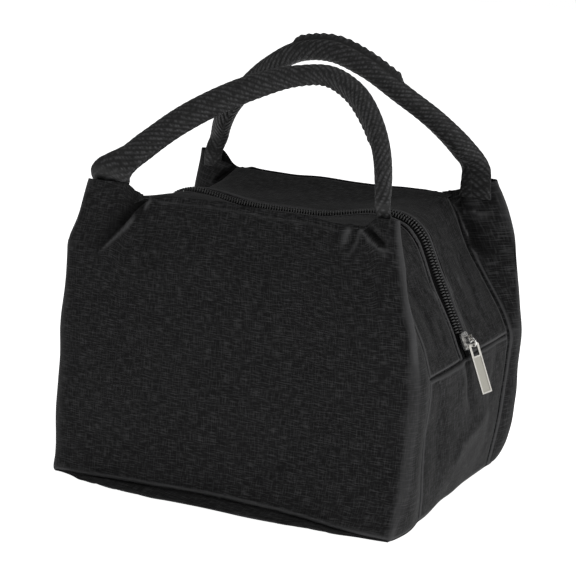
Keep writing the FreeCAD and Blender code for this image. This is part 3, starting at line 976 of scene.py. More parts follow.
def tape_grid(sign):
    """One tape of the zip, from beside the coil to under the cloth, with a small welt along the coil."""
    path = whole_zip_path(0.5, 260)
    normal = path_normals(path)
    shown = np.linspace(tape_inner, cloth_edge, 9)
    covered = np.linspace(tape_covered, tape_outer, 4)
    across = np.concatenate([shown, covered])
    grid = np.repeat(path[:, None], len(across), axis=1)
    grid[..., 1] = sign * across
    rise = welt_height * bell(across - tape_welt, welt_width) - tape_drop
    return grid + normal[:, None] * rise[None, :, None]


def add_node(tree, kind, inputs=None, **settings):
    """A new node with its settings, and its inputs joined to sockets or set to values."""
    node = tree.nodes.new(kind)
    for key, value in settings.items():
        setattr(node, key, value)
    for key, value in (inputs or {}).items():
        if isinstance(value, bpy.types.NodeSocket):
            tree.links.new(value, node.inputs[key])
        else:
            node.inputs[key].default_value = value
    return node


def maths(tree, operation, *values):
    """Result of a sum on sockets or numbers."""
    return add_node(tree, "ShaderNodeMath", dict(enumerate(values)), operation=operation).outputs[0]


def row_tree(name, sizes):
    """A node tree that takes a path, sizes and a finish, and gives out pieces along the path."""
    tree = bpy.data.node_groups.new(name, "GeometryNodeTree")
    tree.interface.new_socket("Path", in_out="INPUT", socket_type="NodeSocketGeometry")
    for label in sizes:
        tree.interface.new_socket(label, in_out="INPUT", socket_type="NodeSocketFloat")
    tree.interface.new_socket("Material", in_out="INPUT", socket_type="NodeSocketMaterial")
    tree.interface.new_socket("Pieces", in_out="OUTPUT", socket_type="NodeSocketGeometry")
    return tree, tree.nodes.new("NodeGroupInput").outputs


def place_along(tree, given, piece):
    """Put a piece at every step of the tree's path, with its X along the path and its Z outwards."""
    even = add_node(tree, "GeometryNodeResampleCurve", {"Curve": given["Path"], "Length": given["Pitch"]},
                    mode="LENGTH")
    tangent = tree.nodes.new("GeometryNodeInputTangent").outputs[0]
    up = add_node(tree, "ShaderNodeVectorMath", {0: (0, 1, 0), 1: tangent}, operation="CROSS_PRODUCT")
    axes = {"Primary Axis": up.outputs[0], "Secondary Axis": tangent}
    turn = add_node(tree, "FunctionNodeAxesToRotation", axes, primary_axis="Z", secondary_axis="X")
    placed = add_node(tree, "GeometryNodeInstanceOnPoints",
                      {"Points": even.outputs[0], "Instance": piece, "Rotation": turn.outputs[0]})
    real = add_node(tree, "GeometryNodeRealizeInstances", {0: placed.outputs[0]})
    finish = add_node(tree, "GeometryNodeSetMaterial",
                      {"Geometry": real.outputs[0], "Material": given["Material"]})
    add_node(tree, "NodeGroupOutput", {0: finish.outputs[0]})
    return tree


def coil_tree():
    """Node tree that lays a row of coil teeth along a path."""
    tree, given = row_tree("coil_teeth", ("Pitch", "Wire radius", "Half width", "Rise", "Side"))
    wide = maths(tree, "MULTIPLY", given["Half width"], given["Side"])

    def place(across, rise):
        """A point of the tooth's loop by shares of its width and rise."""
        y = maths(tree, "MULTIPLY", wide, across)
        z = maths(tree, "MULTIPLY", given["Rise"], rise)
        return add_node(tree, "ShaderNodeCombineXYZ", {"Y": y, "Z": z}).outputs[0]

    loop = add_node(tree, "GeometryNodeCurvePrimitiveBezierSegment", {
        "Resolution": 7, "Start": place(1.0, -0.45), "Start Handle": place(1.0, 1.15),
        "End Handle": place(0.3, 1.25), "End": place(0.35, -0.2)})
    ring = add_node(tree, "GeometryNodeCurvePrimitiveCircle",
                    {"Resolution": 6, "Radius": given["Wire radius"]})
    tooth = add_node(tree, "GeometryNodeCurveToMesh", {
        "Curve": loop.outputs[0], "Profile Curve": ring.outputs[0], "Fill Caps": True})
    return place_along(tree, given, tooth.outputs[0])


def stitch_tree():
    """Node tree that lays a row of stitches along a path."""
    tree, given = row_tree("stitch_row", ("Pitch", "Length", "Radius"))
    bead = add_node(tree, "GeometryNodeMeshUVSphere", {"Segments": 6, "Rings": 5, "Radius": 1.0})
    half = maths(tree, "MULTIPLY", given["Length"], 0.5)
    scale = add_node(tree, "ShaderNodeCombineXYZ", {"X": half, "Y": given["Radius"], "Z": given["Radius"]})
    stitch = add_node(tree, "GeometryNodeTransform", {"Geometry": bead.outputs[0], "Scale": scale.outputs[0]})
    return place_along(tree, given, stitch.outputs[0])


def curve_object(name, points):
    """A plain curve through points."""
    curve = bpy.data.curves.new(name, "CURVE")
    curve.dimensions = "3D"
    spline = curve.splines.new("POLY")
    spline.points.add(len(points) - 1)
    spline.points.foreach_set("co", np.column_stack([points * MM, np.ones(len(points))]).ravel())
    return make_object(name, curve)


def grown(name, tree, points, values):
    """The plain mesh object that a node tree makes along points."""
    source = curve_object(name + "_path", points)
    modifier = source.modifiers.new("grow", "NODES")
    modifier.node_group = tree
    sockets = {item.name: item.identifier for item in tree.interface.items_tree if item.in_out == "INPUT"}
    for key, value in values.items():
        modifier[sockets[key]] = value
    bpy.context.view_layer.update()
    graph = bpy.context.evaluated_depsgraph_get()
    mesh = bpy.data.meshes.new_from_object(source.evaluated_get(graph))
    source.modifiers.remove(modifier)
    bpy.data.objects.remove(source)
    mesh.name = name
    mesh.polygons.foreach_set("use_smooth", np.ones(len(mesh.polygons), bool))
    return make_object(name, mesh)


def crinkled(grid, seed):
    """Foil with small random creases."""
    size = bpy.context.scene.lunch_bag_lining.crinkle / MM
    random = np.random.default_rng(seed)
    rows, columns = grid.shape[:2]
    y, x = np.mgrid[0:rows, 0:columns]
    height = np.zeros((rows, columns))
    for _ in range(crease_count):
        angle = random.uniform(0, math.pi)
        phase = random.uniform(0, wave_turn)
        pitch = random.uniform(*crease_steps)
        wave = np.sin((x * math.cos(angle) + y * math.sin(angle)) / pitch * wave_turn + phase)
        height += np.abs(wave) ** 0.6 * random.uniform(0.3, 1)
    edge = np.minimum.reduce([x, columns - 1 - x, y, rows - 1 - y])
    lift = size * (height - height.mean()) / 3 * np.clip(edge / 4, 0, 1)
    return grid + outward(grid) * lift[..., None]


def wall_lining(sign):
    """Foil on the inside of a wall, from the bottom to under the rim."""
    rows = np.linspace(0.12, lower_rows + upper_rows - 7.0, 70)
    inner = shell()[side_name(sign)][:, wrap_columns:-wrap_columns]
    normal = once(shared_normals)[side_name(sign)][:, wrap_columns:-wrap_columns]
    grid = cubic(inner - normal * lining_depth, rows)
    height = grid[..., 2]
    half = np.where(height < seam_height, lining_half, run_foot_x - run_slope * (height - seam_height))
    half = half - lining_depth - tuck_room * ease((height - narrow_from) / narrow_over)
    grid[..., 0] *= np.minimum(1.0, half / np.abs(grid[..., 0]).max(1, keepdims=True))
    out = np.abs(grid[..., 0])
    behind_tuck = ease((height - tuck_foot) / tuck_reach) * ease((out - tuck_side) / tuck_reach)
    grid[..., 1] -= sign * tuck_room * behind_tuck
    return grid


def end_lining(side, sign):
    """Foil on the inside of half an end."""
    grid = shell()[side + "_end"] - once(shared_normals)[side + "_end"] * lining_depth
    middle = end_columns // 2
    half = grid[:, :middle + 1] if sign < 0 else grid[:, middle:]
    return cubic(half, np.linspace(0.5, lower_rows, 40))


def zip_lining(sign):
    """Foil on the inside of half of the zip panel."""
    name = "zip_" + side_name(sign)
    grid = shell()[name] - once(shared_normals)[name] * lining_depth
    return cubic(grid, np.linspace(4.2, zip_rows - 1.8, 26))


def bottom_lining():
    """Foil on the inside of the bottom."""
    grid = shell()["bottom"].copy()
    grid[..., :2] *= 0.96
    grid[..., 2] = lining_depth
    return grid


def sheet_sizes(grid):
    """Flat width and length of a sheet, and its flat area, in metres."""
    width = max(measured(row)[-1] for row in grid) * MM
    length = max(measured(column)[-1] for column in np.swapaxes(grid, 0, 1)) * MM
    faces = np.cross(np.diff(grid, axis=0)[:, 1:], np.diff(grid, axis=1)[1:])
    area = np.linalg.norm(faces, axis=2).sum() * MM * MM
    return width, length, area


def colour_mix(tree, factor, first, second):
    """Colour between two others."""
    node = add_node(tree, "ShaderNodeMix", {0: factor, 6: first, 7: second}, data_type="RGBA")
    return node.outputs[2]


def ranged(tree, value, low, high, first=0.0, last=1.0):
    """A value moved from one range to another and kept in it."""
    node = add_node(tree, "ShaderNodeMapRange", {0: value, 1: low, 2: high, 3: first, 4: last})
    return node.outputs[0]


def noise(tree, place, scale, detail=2.0):
    """Noise on coordinates stretched by a scale for each axis."""
    stretched = add_node(tree, "ShaderNodeVectorMath", {0: place, 1: scale}, operation="MULTIPLY").outputs[0]
    texture = add_node(tree, "ShaderNodeTexNoise", {"Vector": stretched, "Scale": 1.0, "Detail": detail})
    return texture.outputs[0]


def shader_group(name, values, results):
    """A new shader node group with a vector input, number inputs and number outputs."""
    tree = bpy.data.node_groups.new(name, "ShaderNodeTree")
    tree.interface.new_socket("Place", in_out="INPUT", socket_type="NodeSocketVector")
    for label in values:
        tree.interface.new_socket(label, in_out="INPUT", socket_type="NodeSocketFloat")
    for label in results:
        tree.interface.new_socket(label, in_out="OUTPUT", socket_type="NodeSocketFloat")
    return tree, tree.nodes.new("NodeGroupInput").outputs, tree.nodes.new("NodeGroupOutput")


def slub_group():
    """Thick and thin threads both ways of a woven cloth, as a mask, a height and a slow change of tone."""
    tree, given, result = shader_group("slub_weave", ("Along", "Across"), ("Slub", "Height", "Tone"))
    place = given["Place"]
    along_threads = ranged(tree, noise(tree, place, (150, 1500, 1)), 0.48, 0.72)
    across_threads = ranged(tree, noise(tree, place, (1500, 150, 1)), 0.48, 0.72)
    slub = maths(tree, "MULTIPLY_ADD", along_threads, given["Along"],
                 maths(tree, "MULTIPLY", across_threads, given["Across"]))
    fine = noise(tree, place, (2400, 2400, 1), 1.0)
    height = maths(tree, "MULTIPLY_ADD", fine, 0.5, slub)
    tone = ranged(tree, noise(tree, place, (22, 60, 1)), 0.3, 0.7)
    for label, value in (("Slub", slub), ("Height", height), ("Tone", tone)):
        tree.links.new(value, result.inputs[label])
    return tree


def grain_group():
    """Fine uneven grain of a worked surface, as a mask and a height."""
    tree, given, result = shader_group("surface_grain", ("Scale", "Stretch"), ("Grain", "Height"))
    long_scale = maths(tree, "DIVIDE", given["Scale"], given["Stretch"])
    scale = add_node(tree, "ShaderNodeCombineXYZ",
                     {"X": long_scale, "Y": given["Scale"], "Z": given["Scale"]})
    value = noise(tree, given["Place"], scale.outputs[0], 3.0)
    tree.links.new(ranged(tree, value, 0.35, 0.65), result.inputs["Grain"])
    tree.links.new(value, result.inputs["Height"])
    return tree


def group_node(tree, maker, inputs):
    """Outputs of a node that holds a shader group."""
    return add_node(tree, "ShaderNodeGroup", inputs, node_tree=once(maker)).outputs


def new_finish(name, roughness, specular=0.3, metallic=0.0):
    """A material, its node tree and its shader with plain values set."""
    finish = bpy.data.materials.new(name)
    finish.use_nodes = True
    shader = finish.node_tree.nodes["Principled BSDF"]
    shader.inputs["Roughness"].default_value = roughness
    shader.inputs["Specular IOR Level"].default_value = specular
    shader.inputs["Metallic"].default_value = metallic
    return finish, finish.node_tree, shader


def shade(colour, factor):
    """A colour times a factor, as four values."""
    return (colour[0] * factor, colour[1] * factor, colour[2] * factor, 1.0)


def cut_map(tree):
    """The map of a piece's flat cut."""
    return add_node(tree, "ShaderNodeUVMap", uv_map="cut").outputs[0]


def object_place(tree):
    """Coordinates fixed to a piece."""
    return tree.nodes.new("ShaderNodeTexCoord").outputs["Object"]


def mask(tree, name):
    """A mask that a mesh carries."""
    return add_node(tree, "ShaderNodeAttribute", attribute_name=name).outputs["Fac"]


def bump(tree, shader, height, distance, strength):
    """Let a height roughen a shader's surface."""
    node = add_node(tree, "ShaderNodeBump", {"Height": height, "Distance": distance, "Strength": strength})
    tree.links.new(node.outputs[0], shader.inputs["Normal"])


def tinted(tree, shader, factor, colour, dark, light):
    """Let a factor move a shader's colour from a darker to a lighter tone."""
    tone = colour_mix(tree, factor, shade(colour, dark), shade(colour, light))
    tree.links.new(tone, shader.inputs["Base Color"])


def grained(name, plain, grain, colour, tones, rough=None):
    """A finish whose colour and roughness follow a grain, given by its coordinates, scale and stretch."""
    finish, tree, shader = new_finish(name, *plain)
    place, scale, stretch = grain
    found = group_node(tree, grain_group, {"Place": place(tree), "Scale": scale, "Stretch": stretch})
    tinted(tree, shader, found["Grain"], colour, *tones)
    if rough:
        tree.links.new(ranged(tree, found["Grain"], 0, 1, *rough), shader.inputs["Roughness"])
    return finish, tree, shader, found["Height"]


def outer_cloth():
    """Black slub cloth, lighter where it folds outwards, partly from wear and partly as a painted highlight,
    and with painted shade in its deep folds.
    """
    sizes = bpy.context.scene.lunch_bag_cloth
    finish, tree, shader = new_finish("outer_cloth", 0.9, 0.12)
    weave = group_node(tree, slub_group, {"Place": cut_map(tree), "Along": 0.7, "Across": 0.45})
    ground = colour_mix(tree, weave["Tone"], shade(sizes.colour, 0.8), shade(sizes.colour, 1.15))
    threads = colour_mix(tree, weave["Slub"], ground, (*sizes.slub_colour, 1.0))
    # Where the cloth turns outwards it is lighter: partly wear, partly a painted highlight
    wear_and_highlight = maths(tree, "MULTIPLY", mask(tree, "ridge"), 0.65)
    edged = colour_mix(tree, wear_and_highlight, threads, shade(sizes.slub_colour, 1.7))
    # Painted shade: deep in the folds the colour goes towards a much darker tone
    sunk = maths(tree, "MULTIPLY", mask(tree, "hollow"), 0.85)
    colour = colour_mix(tree, sunk, edged, shade(sizes.colour, 0.3))
    tree.links.new(colour, shader.inputs["Base Color"])
    shader.inputs["Sheen Weight"].default_value = 0.05
    shader.inputs["Sheen Roughness"].default_value = 0.4
    bump(tree, shader, weave["Height"], 0.00025, 0.55)
    return finish


def handle_webbing():
    """Black woven webbing with ribs made of small stitches, painted shade in its grooves and painted
    highlights on its ribs.
    """
    sizes = bpy.context.scene.lunch_bag_handles
    finish, tree, shader = new_finish("handle_webbing", 0.62, 0.35)
    place = add_node(tree, "ShaderNodeVectorMath", {0: cut_map(tree), 1: (760, 520, 1)}, operation="MULTIPLY")
    cells = add_node(tree, "ShaderNodeTexVoronoi", {"Vector": place.outputs[0], "Scale": 1.0})
    stitch = ranged(tree, cells.outputs["Distance"], 0.75, 0.15)
    # Painted light: the rib mask darkens the grooves as painted shade and lightens the ribs as painted
    # highlights
    crest = maths(tree, "MULTIPLY", maths(tree, "POWER", mask(tree, "rib"), 3.0), stitch)
    tinted(tree, shader, crest, sizes.colour, 0.15, 5.0)
    shader.inputs["Sheen Weight"].default_value = 0.06
    bump(tree, shader, stitch, 0.0003, 0.5)
    return finish


def zip_tape():
    """Black woven tape with a fine twill."""
    finish, tree, shader = new_finish("zip_tape", 0.9, 0.08)
    twill = add_node(tree, "ShaderNodeTexWave", {"Vector": cut_map(tree), "Scale": 420.0, "Distortion": 0.6},
                     bands_direction="DIAGONAL").outputs["Fac"]
    tinted(tree, shader, twill, bpy.context.scene.lunch_bag_zip.tape_colour, 0.6, 1.5)
    bump(tree, shader, twill, 0.0001, 0.4)
    return finish


def zip_coil():
    """Black nylon wire, satin."""
    colour = bpy.context.scene.lunch_bag_zip.coil_colour
    return grained("zip_coil", (0.3, 0.7), (object_place, 900.0, 1.0), colour, (0.7, 1.3), (0.24, 0.36))[0]


def sewing_thread():
    """Black twisted sewing thread."""
    colour = bpy.context.scene.lunch_bag_cloth.slub_colour
    return grained("sewing_thread", (0.6, 0.35), (object_place, 2500.0, 1.0), colour, (0.5, 1.1))[0]


def foil_lining():
    """Silver foil with fine scuffs."""
    colour = bpy.context.scene.lunch_bag_lining.colour
    finish, tree, shader, height = grained("foil_lining", (0.3, 0.5, 0.9), (cut_map, 320.0, 3.0), colour,
                                           (0.88, 1.05), (0.2, 0.42))
    bump(tree, shader, height, 0.0003, 0.3)
    return finish


def nickel():
    """Bright plated metal with light handling marks."""
    colour = bpy.context.scene.lunch_bag_zip.metal_colour
    return grained("nickel", (0.2, 0.5, 1.0), (object_place, 1400.0, 5.0), colour,
                   (0.92, 1.05), (0.16, 0.32))[0]


def pull_metal():
    """Satin plated metal of the pull."""
    colour = bpy.context.scene.lunch_bag_zip.pull_colour
    return grained("pull_metal", (0.4, 0.5, 1.0), (object_place, 1400.0, 5.0), colour,
                   (0.9, 1.08), (0.36, 0.5))[0]


def pull_face():
    """Matte sunk face of the pull."""
    colour = bpy.context.scene.lunch_bag_zip.face_colour
    return grained("pull_face", (0.5, 0.4, 0.55), (object_place, 3200.0, 6.0), colour,
                   (0.9, 1.08), (0.42, 0.6))[0]


def hang(piece, sign, nodes):
    """Put a piece of a wall in place of its nodes, which are hidden."""
    side_name(sign) + "_wall"
    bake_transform(piece)
    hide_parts(*nodes)


def outer_piece(name, grid, **more):
    """A piece of the outer cloth."""
    thickness = bpy.context.scene.lunch_bag_cloth.thickness / MM
    return cloth_mesh(name, grid, thickness, once(outer_cloth), **more)


def build_walls():
    """Front and back cloth with their ears."""
    for side, sign in sides.items():
        grid = dressed(side)
        piece = outer_piece(side + "_cloth", grid, hollow=made["hollow_" + side])
        names = ("panel", "foam", "right_ear_facing", "left_ear_facing", "right_handle_end",
                 "left_handle_end")
        hang(piece, sign, [side + "_" + name for name in names])


def build_ends():
    """End cloth below the end seams, each in a front and a back half."""
    for side in ("right", "left"):
        grid = dressed(side + "_end")
        normal = outward(grid)
        middle = grid.shape[1] // 2
        for sign, half in ((-1, slice(0, middle + 1)), (1, slice(middle, None))):
            name = side + "_end_cloth_" + side_name(sign)
            piece = outer_piece(name, grid[:, half], turn_cloth=True, normal=normal[:, half])
            hang(piece, sign, [side + "_end_panel", side + "_end_foam"])


def build_bottom():
    """Bottom cloth."""
    piece = outer_piece("bottom_cloth", dressed("bottom"))
    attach(piece, "tub")
    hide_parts("bottom_panel", "bottom_foam")


def build_zip_panels():
    """Cloth of the two halves of the zip panel."""
    for side, sign in sides.items():
        piece = outer_piece(side + "_zip_cloth", dressed("zip_" + side))
        hang(piece, sign, [side + "_zip_panel", side + "_zip_foam"])


def build_zip_tapes():
    """The two tapes of the zip."""
    for side, sign in sides.items():
        grid = tape_grid(sign)
        piece = cloth_mesh(side + "_tape", grid, tape_thickness, once(zip_tape))
        hang(piece, sign, [side + "_zip_tape"])
        width, length, area = sheet_sizes(grid)


def build_zip_coils():
    """The two rows of coil teeth."""
    sizes = bpy.context.scene.lunch_bag_zip
    tree = coil_tree()
    for side, sign in sides.items():
        first = coil_start if sign < 0 else coil_start + sizes.pitch / MM / 2
        piece = grown(side + "_coil", tree, whole_zip_path(first, 700), {
            "Pitch": sizes.pitch, "Wire radius": sizes.wire_radius, "Half width": sizes.half_width,
            "Rise": sizes.rise, "Side": float(sign), "Material": once(zip_coil)})
        hang(piece, sign, [side + "_zip_coil"])


def build_stitches():
    """Rows of stitches along the folded cloth beside the zip."""
    sizes = bpy.context.scene.lunch_bag_zip
    tree = stitch_tree()
    for side, sign in sides.items():
        grid = dressed("zip_" + side)
        edge = edge_distances(grid)[1]
        row = np.argmin(np.abs(edge - stitch_inset), axis=0)
        columns = np.arange(grid.shape[1])
        line = (grid + outward(grid) * stitch_lift)[row, columns][6:-6]
        piece = grown(side + "_stitches", tree, line, {
            "Pitch": sizes.stitch_pitch, "Length": stitch_share * sizes.stitch_pitch,
            "Radius": sizes.thread_radius, "Material": once(sewing_thread)})
        hang(piece, sign, [])


def lay_lining(name, grid, seed):
    """A sheet of foil and its flat sizes."""
    thickness = bpy.context.scene.lunch_bag_lining.thickness / MM
    return cloth_mesh(name, crinkled(grid, seed), thickness, once(foil_lining)), sheet_sizes(grid)


def build_linings():
    """Foil on the inside of every wall."""
    sheets = []
    for side, sign in sides.items():
        sheets.append((side + "_foil", wall_lining(sign), sign, side + "_lining", side + "_cloth"))
        sheets.append((side + "_zip_foil", zip_lining(sign), sign, side + "_zip_lining", side + "_zip_cloth"))
        for end in ("right", "left"):
            name, held_on = end + "_end_foil_" + side, end + "_end_cloth_" + side
            sheets.append((name, end_lining(end, sign), sign, end + "_end_lining", held_on))
    for seed, (name, grid, sign, node, held_on) in enumerate(sheets):
        piece, (width, length, area) = lay_lining(name, grid, seed)
        hang(piece, sign, [node])
    piece, (width, length, area) = lay_lining("bottom_foil", bottom_lining(), len(sheets))
    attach(piece, "tub")
    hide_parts("bottom_lining")


def build_handles():
    """The two padded webbing handles."""
    for side in sides:
        piece = tube_object(side + "_handle", *handle_grid(side), once(handle_webbing))
        hinge = joint_place(side + "_handle_swing") * MM
        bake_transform(piece)
        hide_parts(side + "_handle_webbing", side + "_handle_core")


def build_zip_metal():
    """Plated finish of the slider, ring and pull, and the matte sunk face of the pull."""
    for node, finish in (("zip_slider", nickel), ("zip_ring", nickel), ("zip_pull", pull_metal)):
        mesh = frame["nodes"][node].data
        mesh.materials.clear()
        mesh.materials.append(once(finish))
    mesh.materials.append(once(pull_face))
    mark_sunk_face(mesh)


def mark_sunk_face(mesh):
    """Give the sunk face of the pull, which lies just below its outermost face, the matte finish."""
    normals = np.array([face.normal[:] for face in mesh.polygons])
    areas = np.array([face.area for face in mesh.polygons])
    middles = np.array([face.center[:] for face in mesh.polygons])
    largest = normals[np.argmax(areas)]
    out = largest if largest[0] > 0 else -largest
    facing = normals @ out > 0.99
    level = middles @ out
    top = level[facing].max()
    for face in np.nonzero(facing & (level < top - 0.1 * MM))[0]:
        mesh.polygons[int(face)].material_index = 1


# Stage, in metres: what the camera and the lights point at, the camera's lens and sensor in millimetres and
# its roll in degrees, the floor's half width and how far it lies below the bag
camera_target = (-0.0013, 0, 0.1139)
light_target = (0, 0, 0.1)
lens_length = 113.8
sensor_width = 36
camera_roll = 1.55
floor_half = 3.0
floor_drop = 0.0008


def area_light(name, place, target, size, power):
    """A soft square light that faces a place."""
    lamp = bpy.data.lights.new(name, "AREA")
    lamp.size = size
    lamp.energy = power
    holder = make_object(name, lamp)
    holder.location = place
    holder.rotation_euler = (Vector(target) - Vector(place)).to_track_quat("-Z", "Y").to_euler()


def build_world(brightness):
    """White all round for the camera, and a softer white for the light on the bag."""
    world = bpy.data.worlds.new("studio")
    world.use_nodes = True
    tree = world.node_tree
    seen = tree.nodes["Background"]
    seen.inputs["Color"].default_value = (1, 1, 1, 1)
    lit = add_node(tree, "ShaderNodeBackground", {"Color": (1, 1, 1, 1), "Strength": brightness})
    path = tree.nodes.new("ShaderNodeLightPath")
    both = add_node(tree, "ShaderNodeMixShader",
                    {0: path.outputs["Is Camera Ray"], 1: lit.outputs[0], 2: seen.outputs[0]})
    tree.links.new(both.outputs[0], tree.nodes["World Output"].inputs["Surface"])
    bpy.context.scene.world = world


def build_floor(colour):
    """A wide pale floor."""
    mesh = bpy.data.meshes.new("floor")
    corners = [(x * floor_half, y * floor_half, -floor_drop) for x, y in ((-1, -1), (1, -1), (1, 1), (-1, 1))]
    mesh.from_pydata(corners, [], [(0, 1, 2, 3)])
    finish, _, shader = new_finish("floor", 0.9, 0.1)
    shader.inputs["Base Color"].default_value = (*colour, 1)
    shader.inputs["Emission Color"].default_value = (1, 1, 1, 1)
    shader.inputs["Emission Strength"].default_value = 1.0
    mesh.materials.append(finish)
    make_object("floor", mesh)


def build_camera(sizes):
    """The camera of the photograph."""
    azimuth, elevation, roll = sizes.azimuth, sizes.elevation, math.radians(camera_roll)
    flat = math.cos(elevation)
    back = Vector((math.sin(azimuth) * flat, -math.cos(azimuth) * flat, math.sin(elevation)))
    lens = bpy.data.cameras.new("camera")
    lens.sensor_width = sensor_width
    lens.lens = lens_length
    camera = make_object("camera", lens)
    right = Vector((math.cos(azimuth), math.sin(azimuth), 0))
    up = back.cross(right)
    turned_right = right * math.cos(roll) + up * math.sin(roll)
    turned_up = up * math.cos(roll) - right * math.sin(roll)
    axes = Matrix((turned_right, turned_up, back)).transposed()
    camera.matrix_world = Matrix.Translation(Vector(camera_target) + back * sizes.distance) @ axes.to_4x4()
    return camera


def build_stage():
    """Pale floor, soft light and the camera of the photograph."""
    scene = bpy.context.scene
    sizes = scene.lunch_bag_stage
    scene.camera = build_camera(sizes)
    scene.view_settings.view_transform = "Standard"
    build_world(sizes.surround)
    build_floor(sizes.floor_colour)
    area_light("key", (0.1, -0.12, 1.5), light_target, 1.3, sizes.key_power)
    area_light("side", (1.25, -0.25, 0.5), light_target, 0.9, sizes.side_power)
    area_light("front", (-0.5, -1.5, 0.8), light_target, 1.2, sizes.front_power)


def length_property(name, description, value):
    """A length that a user may change, given in millimetres."""
    return bpy.props.FloatProperty(name=name, description=description, default=value * MM, unit="LENGTH",
                                   precision=5)


def colour_property(name, description, value):
    """A colour that a user may change."""
    return bpy.props.FloatVectorProperty(name=name, description=description, default=value, size=3,
                                         subtype="COLOR", min=0.0, max=1.0)


def number_property(name, description, value):
    """A plain number that a user may change."""
    return bpy.props.FloatProperty(name=name, description=description, default=value)


def angle_property(name, description, degrees):
    """An angle that a user may change, given in degrees."""
    return bpy.props.FloatProperty(name=name, description=description, default=math.radians(degrees),
                                   subtype="ANGLE")


class LunchBagCloth(bpy.types.PropertyGroup):
    """Outer cloth of the bag."""

    thickness: length_property("Thickness", "Thickness of the outer cloth", 0.9)
    seam_depth: length_property("Seam depth", "How far the seams draw in", 1.4)
    ripple: length_property("Unevenness", "Height of the slow unevenness of the cloth", 0.7)
    fold_depth: number_property("Folds", "How deep the folds are, with 1 as in the photograph", 1.0)
    colour: colour_property("Ground colour", "Colour of the cloth between the thick threads",
                            (0.0052, 0.0052, 0.0054))
    slub_colour: colour_property("Thread colour", "Colour of the thick threads", (0.041, 0.041, 0.042))


class LunchBagZip(bpy.types.PropertyGroup):
    """Zip of the bag with its stitches and metal."""

    pitch: length_property("Tooth pitch", "Step from tooth to tooth", 1.8)
    wire_radius: length_property("Wire radius", "Radius of the coil's wire", 0.55)
    half_width: length_property("Half width", "Width of one row of teeth", 3.4)
    rise: length_property("Rise", "Height of the coil over its tape", 1.3)
    stitch_pitch: length_property("Stitch pitch", "Step from stitch to stitch", 3.0)
    thread_radius: length_property("Thread radius", "Radius of the sewing thread", 0.24)
    coil_colour: colour_property("Coil colour", "Colour of the teeth", (0.0055, 0.0055, 0.0057))
    tape_colour: colour_property("Tape colour", "Colour of the tape", (0.0012, 0.0012, 0.0013))
    metal_colour: colour_property("Metal colour", "Colour of the plated metal", (0.78, 0.77, 0.75))
    pull_colour: colour_property("Pull colour", "Colour of the pull's metal", (0.38, 0.37, 0.345))
    face_colour: colour_property("Face colour", "Colour of the pull's sunk face", (0.31, 0.3, 0.265))


class LunchBagLining(bpy.types.PropertyGroup):
    """Foil lining of the bag."""

    thickness: length_property("Thickness", "Thickness of the foil lining", 0.4)
    crinkle: length_property("Crinkle", "Height of the creases in the foil", 0.5)
    colour: colour_property("Colour", "Colour of the foil", (0.72, 0.73, 0.75))


class LunchBagHandles(bpy.types.PropertyGroup):
    """Webbing of the handles."""

    rib_pitch: length_property("Rib pitch", "Step from rib to rib of the webbing", 2.6)
    rib_height: length_property("Rib height", "Height of the ribs", 0.6)
    rib_angle: angle_property("Rib angle", "Slant of the ribs to the handle", 33.0)
    seam_height: length_property("Seam height", "How far the sewn edge stands out", 3.2)
    colour: colour_property("Colour", "Colour of the webbing", (0.011, 0.011, 0.0115))


class LunchBagStage(bpy.types.PropertyGroup):
    """Camera, light and floor."""

    azimuth: angle_property("Azimuth", "How far the camera stands round to the right", 26.98)
    elevation: angle_property("Elevation", "How far the camera looks down", 14.36)
    distance: length_property("Distance", "From the camera to the middle of the bag", 1131.4)
    surround: number_property("Surround", "Strength of the light from all round", 0.2)
    key_power: number_property("Top light", "Power of the light above", 6.0)
    side_power: number_property("Side light", "Power of the light on the right", 6.3)
    front_power: number_property("Front light", "Power of the light in front", 0.7)
    floor_colour: colour_property("Floor colour", "Colour of the floor", (0.9, 0.9, 0.9))


class LunchBagWalls(bpy.types.Operator):
    """Make the front and back cloth with their ears"""

    bl_idname = "lunch_bag.walls"
    bl_label = "Front and back"

    def execute(self, context):
        build_walls()
        return {"FINISHED"}


class LunchBagEnds(bpy.types.Operator):
    """Make the cloth of the two ends below their seams"""

    bl_idname = "lunch_bag.ends"
    bl_label = "Ends"

    def execute(self, context):
        build_ends()
        return {"FINISHED"}


class LunchBagBottom(bpy.types.Operator):
    """Make the bottom cloth"""

    bl_idname = "lunch_bag.bottom"
    bl_label = "Bottom"

    def execute(self, context):
        build_bottom()
        return {"FINISHED"}


class LunchBagZipPanels(bpy.types.Operator):
    """Make the two halves of the zip panel"""

    bl_idname = "lunch_bag.zip_panels"
    bl_label = "Zip panels"

    def execute(self, context):
        build_zip_panels()
        return {"FINISHED"}


class LunchBagZipTapes(bpy.types.Operator):
    """Make the two tapes of the zip"""

    bl_idname = "lunch_bag.zip_tapes"
    bl_label = "Zip tapes"

    def execute(self, context):
        build_zip_tapes()
        return {"FINISHED"}


class LunchBagZipCoils(bpy.types.Operator):
    """Make the two rows of coil teeth"""

    bl_idname = "lunch_bag.zip_coils"
    bl_label = "Zip coils"

    def execute(self, context):
        build_zip_coils()
        return {"FINISHED"}


class LunchBagStitches(bpy.types.Operator):
    """Make the stitches beside the zip"""

    bl_idname = "lunch_bag.stitches"
    bl_label = "Stitches"

    def execute(self, context):
        build_stitches()
        return {"FINISHED"}


class LunchBagLinings(bpy.types.Operator):
    """Make the foil lining"""

    bl_idname = "lunch_bag.linings"
    bl_label = "Lining"

    def execute(self, context):
        build_linings()
        return {"FINISHED"}


class LunchBagHandlePair(bpy.types.Operator):
    """Make the two padded handles"""

    bl_idname = "lunch_bag.handles"
    bl_label = "Handles"

    def execute(self, context):
        build_handles()
        return {"FINISHED"}


class LunchBagZipMetal(bpy.types.Operator):
    """Finish the slider, ring and pull"""

    bl_idname = "lunch_bag.zip_metal"
    bl_label = "Slider, ring and pull"

    def execute(self, context):
        build_zip_metal()
        return {"FINISHED"}


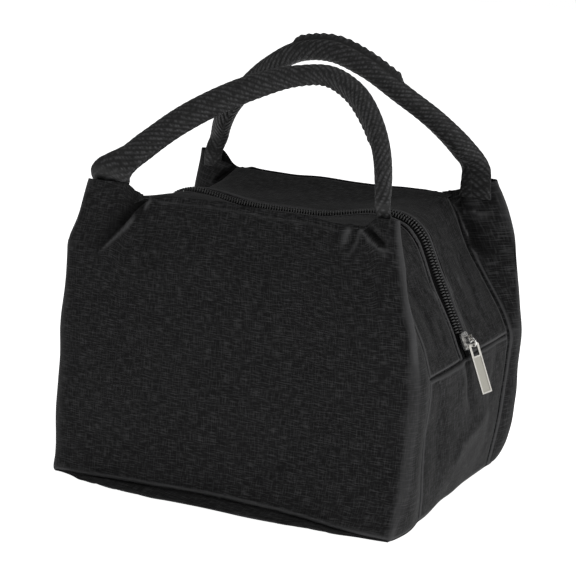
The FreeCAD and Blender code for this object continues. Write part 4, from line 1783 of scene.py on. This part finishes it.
class LunchBagStudio(bpy.types.Operator):
    """Make the floor, the light and the camera"""

    bl_idname = "lunch_bag.stage"
    bl_label = "Stage"

    def execute(self, context):
        build_stage()
        return {"FINISHED"}


groups = {
    "lunch_bag_cloth": LunchBagCloth, "lunch_bag_zip": LunchBagZip, "lunch_bag_lining": LunchBagLining,
    "lunch_bag_handles": LunchBagHandles, "lunch_bag_stage": LunchBagStage,
}
operators = (
    LunchBagWalls, LunchBagEnds, LunchBagBottom, LunchBagZipPanels, LunchBagZipTapes, LunchBagZipCoils,
    LunchBagStitches, LunchBagLinings, LunchBagHandlePair, LunchBagZipMetal, LunchBagStudio,
)


class LunchBagPanel(bpy.types.Panel):
    """Sizes, colours and pieces of the lunch bag"""

    bl_idname = "VIEW3D_PT_lunch_bag"
    bl_label = "Lunch bag"
    bl_space_type = "VIEW_3D"
    bl_region_type = "UI"
    bl_category = "Lunch bag"

    def draw(self, context):
        for name, group in groups.items():
            box = self.layout.box()
            box.label(text=group.__doc__)
            for key in group.__annotations__:
                box.prop(getattr(context.scene, name), key)
        for operator in operators:
            self.layout.operator(operator.bl_idname)


def register():
    """Register the classes and hang the property groups on the scene."""
    for item in (*groups.values(), *operators, LunchBagPanel):
        bpy.utils.register_class(item)
    for name, group in groups.items():
        setattr(bpy.types.Scene, name, bpy.props.PointerProperty(type=group))


def unregister():
    """Undo what register did."""
    for name in groups:
        delattr(bpy.types.Scene, name)
    for item in reversed((*groups.values(), *operators, LunchBagPanel)):
        bpy.utils.unregister_class(item)


def main():
    """Build the bag piece by piece."""
    register()
    bpy.ops.lunch_bag.walls()
    bpy.ops.lunch_bag.ends()
    bpy.ops.lunch_bag.bottom()
    bpy.ops.lunch_bag.zip_panels()
    bpy.ops.lunch_bag.zip_tapes()
    bpy.ops.lunch_bag.zip_coils()
    bpy.ops.lunch_bag.stitches()
    bpy.ops.lunch_bag.linings()
    bpy.ops.lunch_bag.handles()
    bpy.ops.lunch_bag.zip_metal()
    bpy.ops.lunch_bag.stage()


if __name__ == "__main__":
    main()
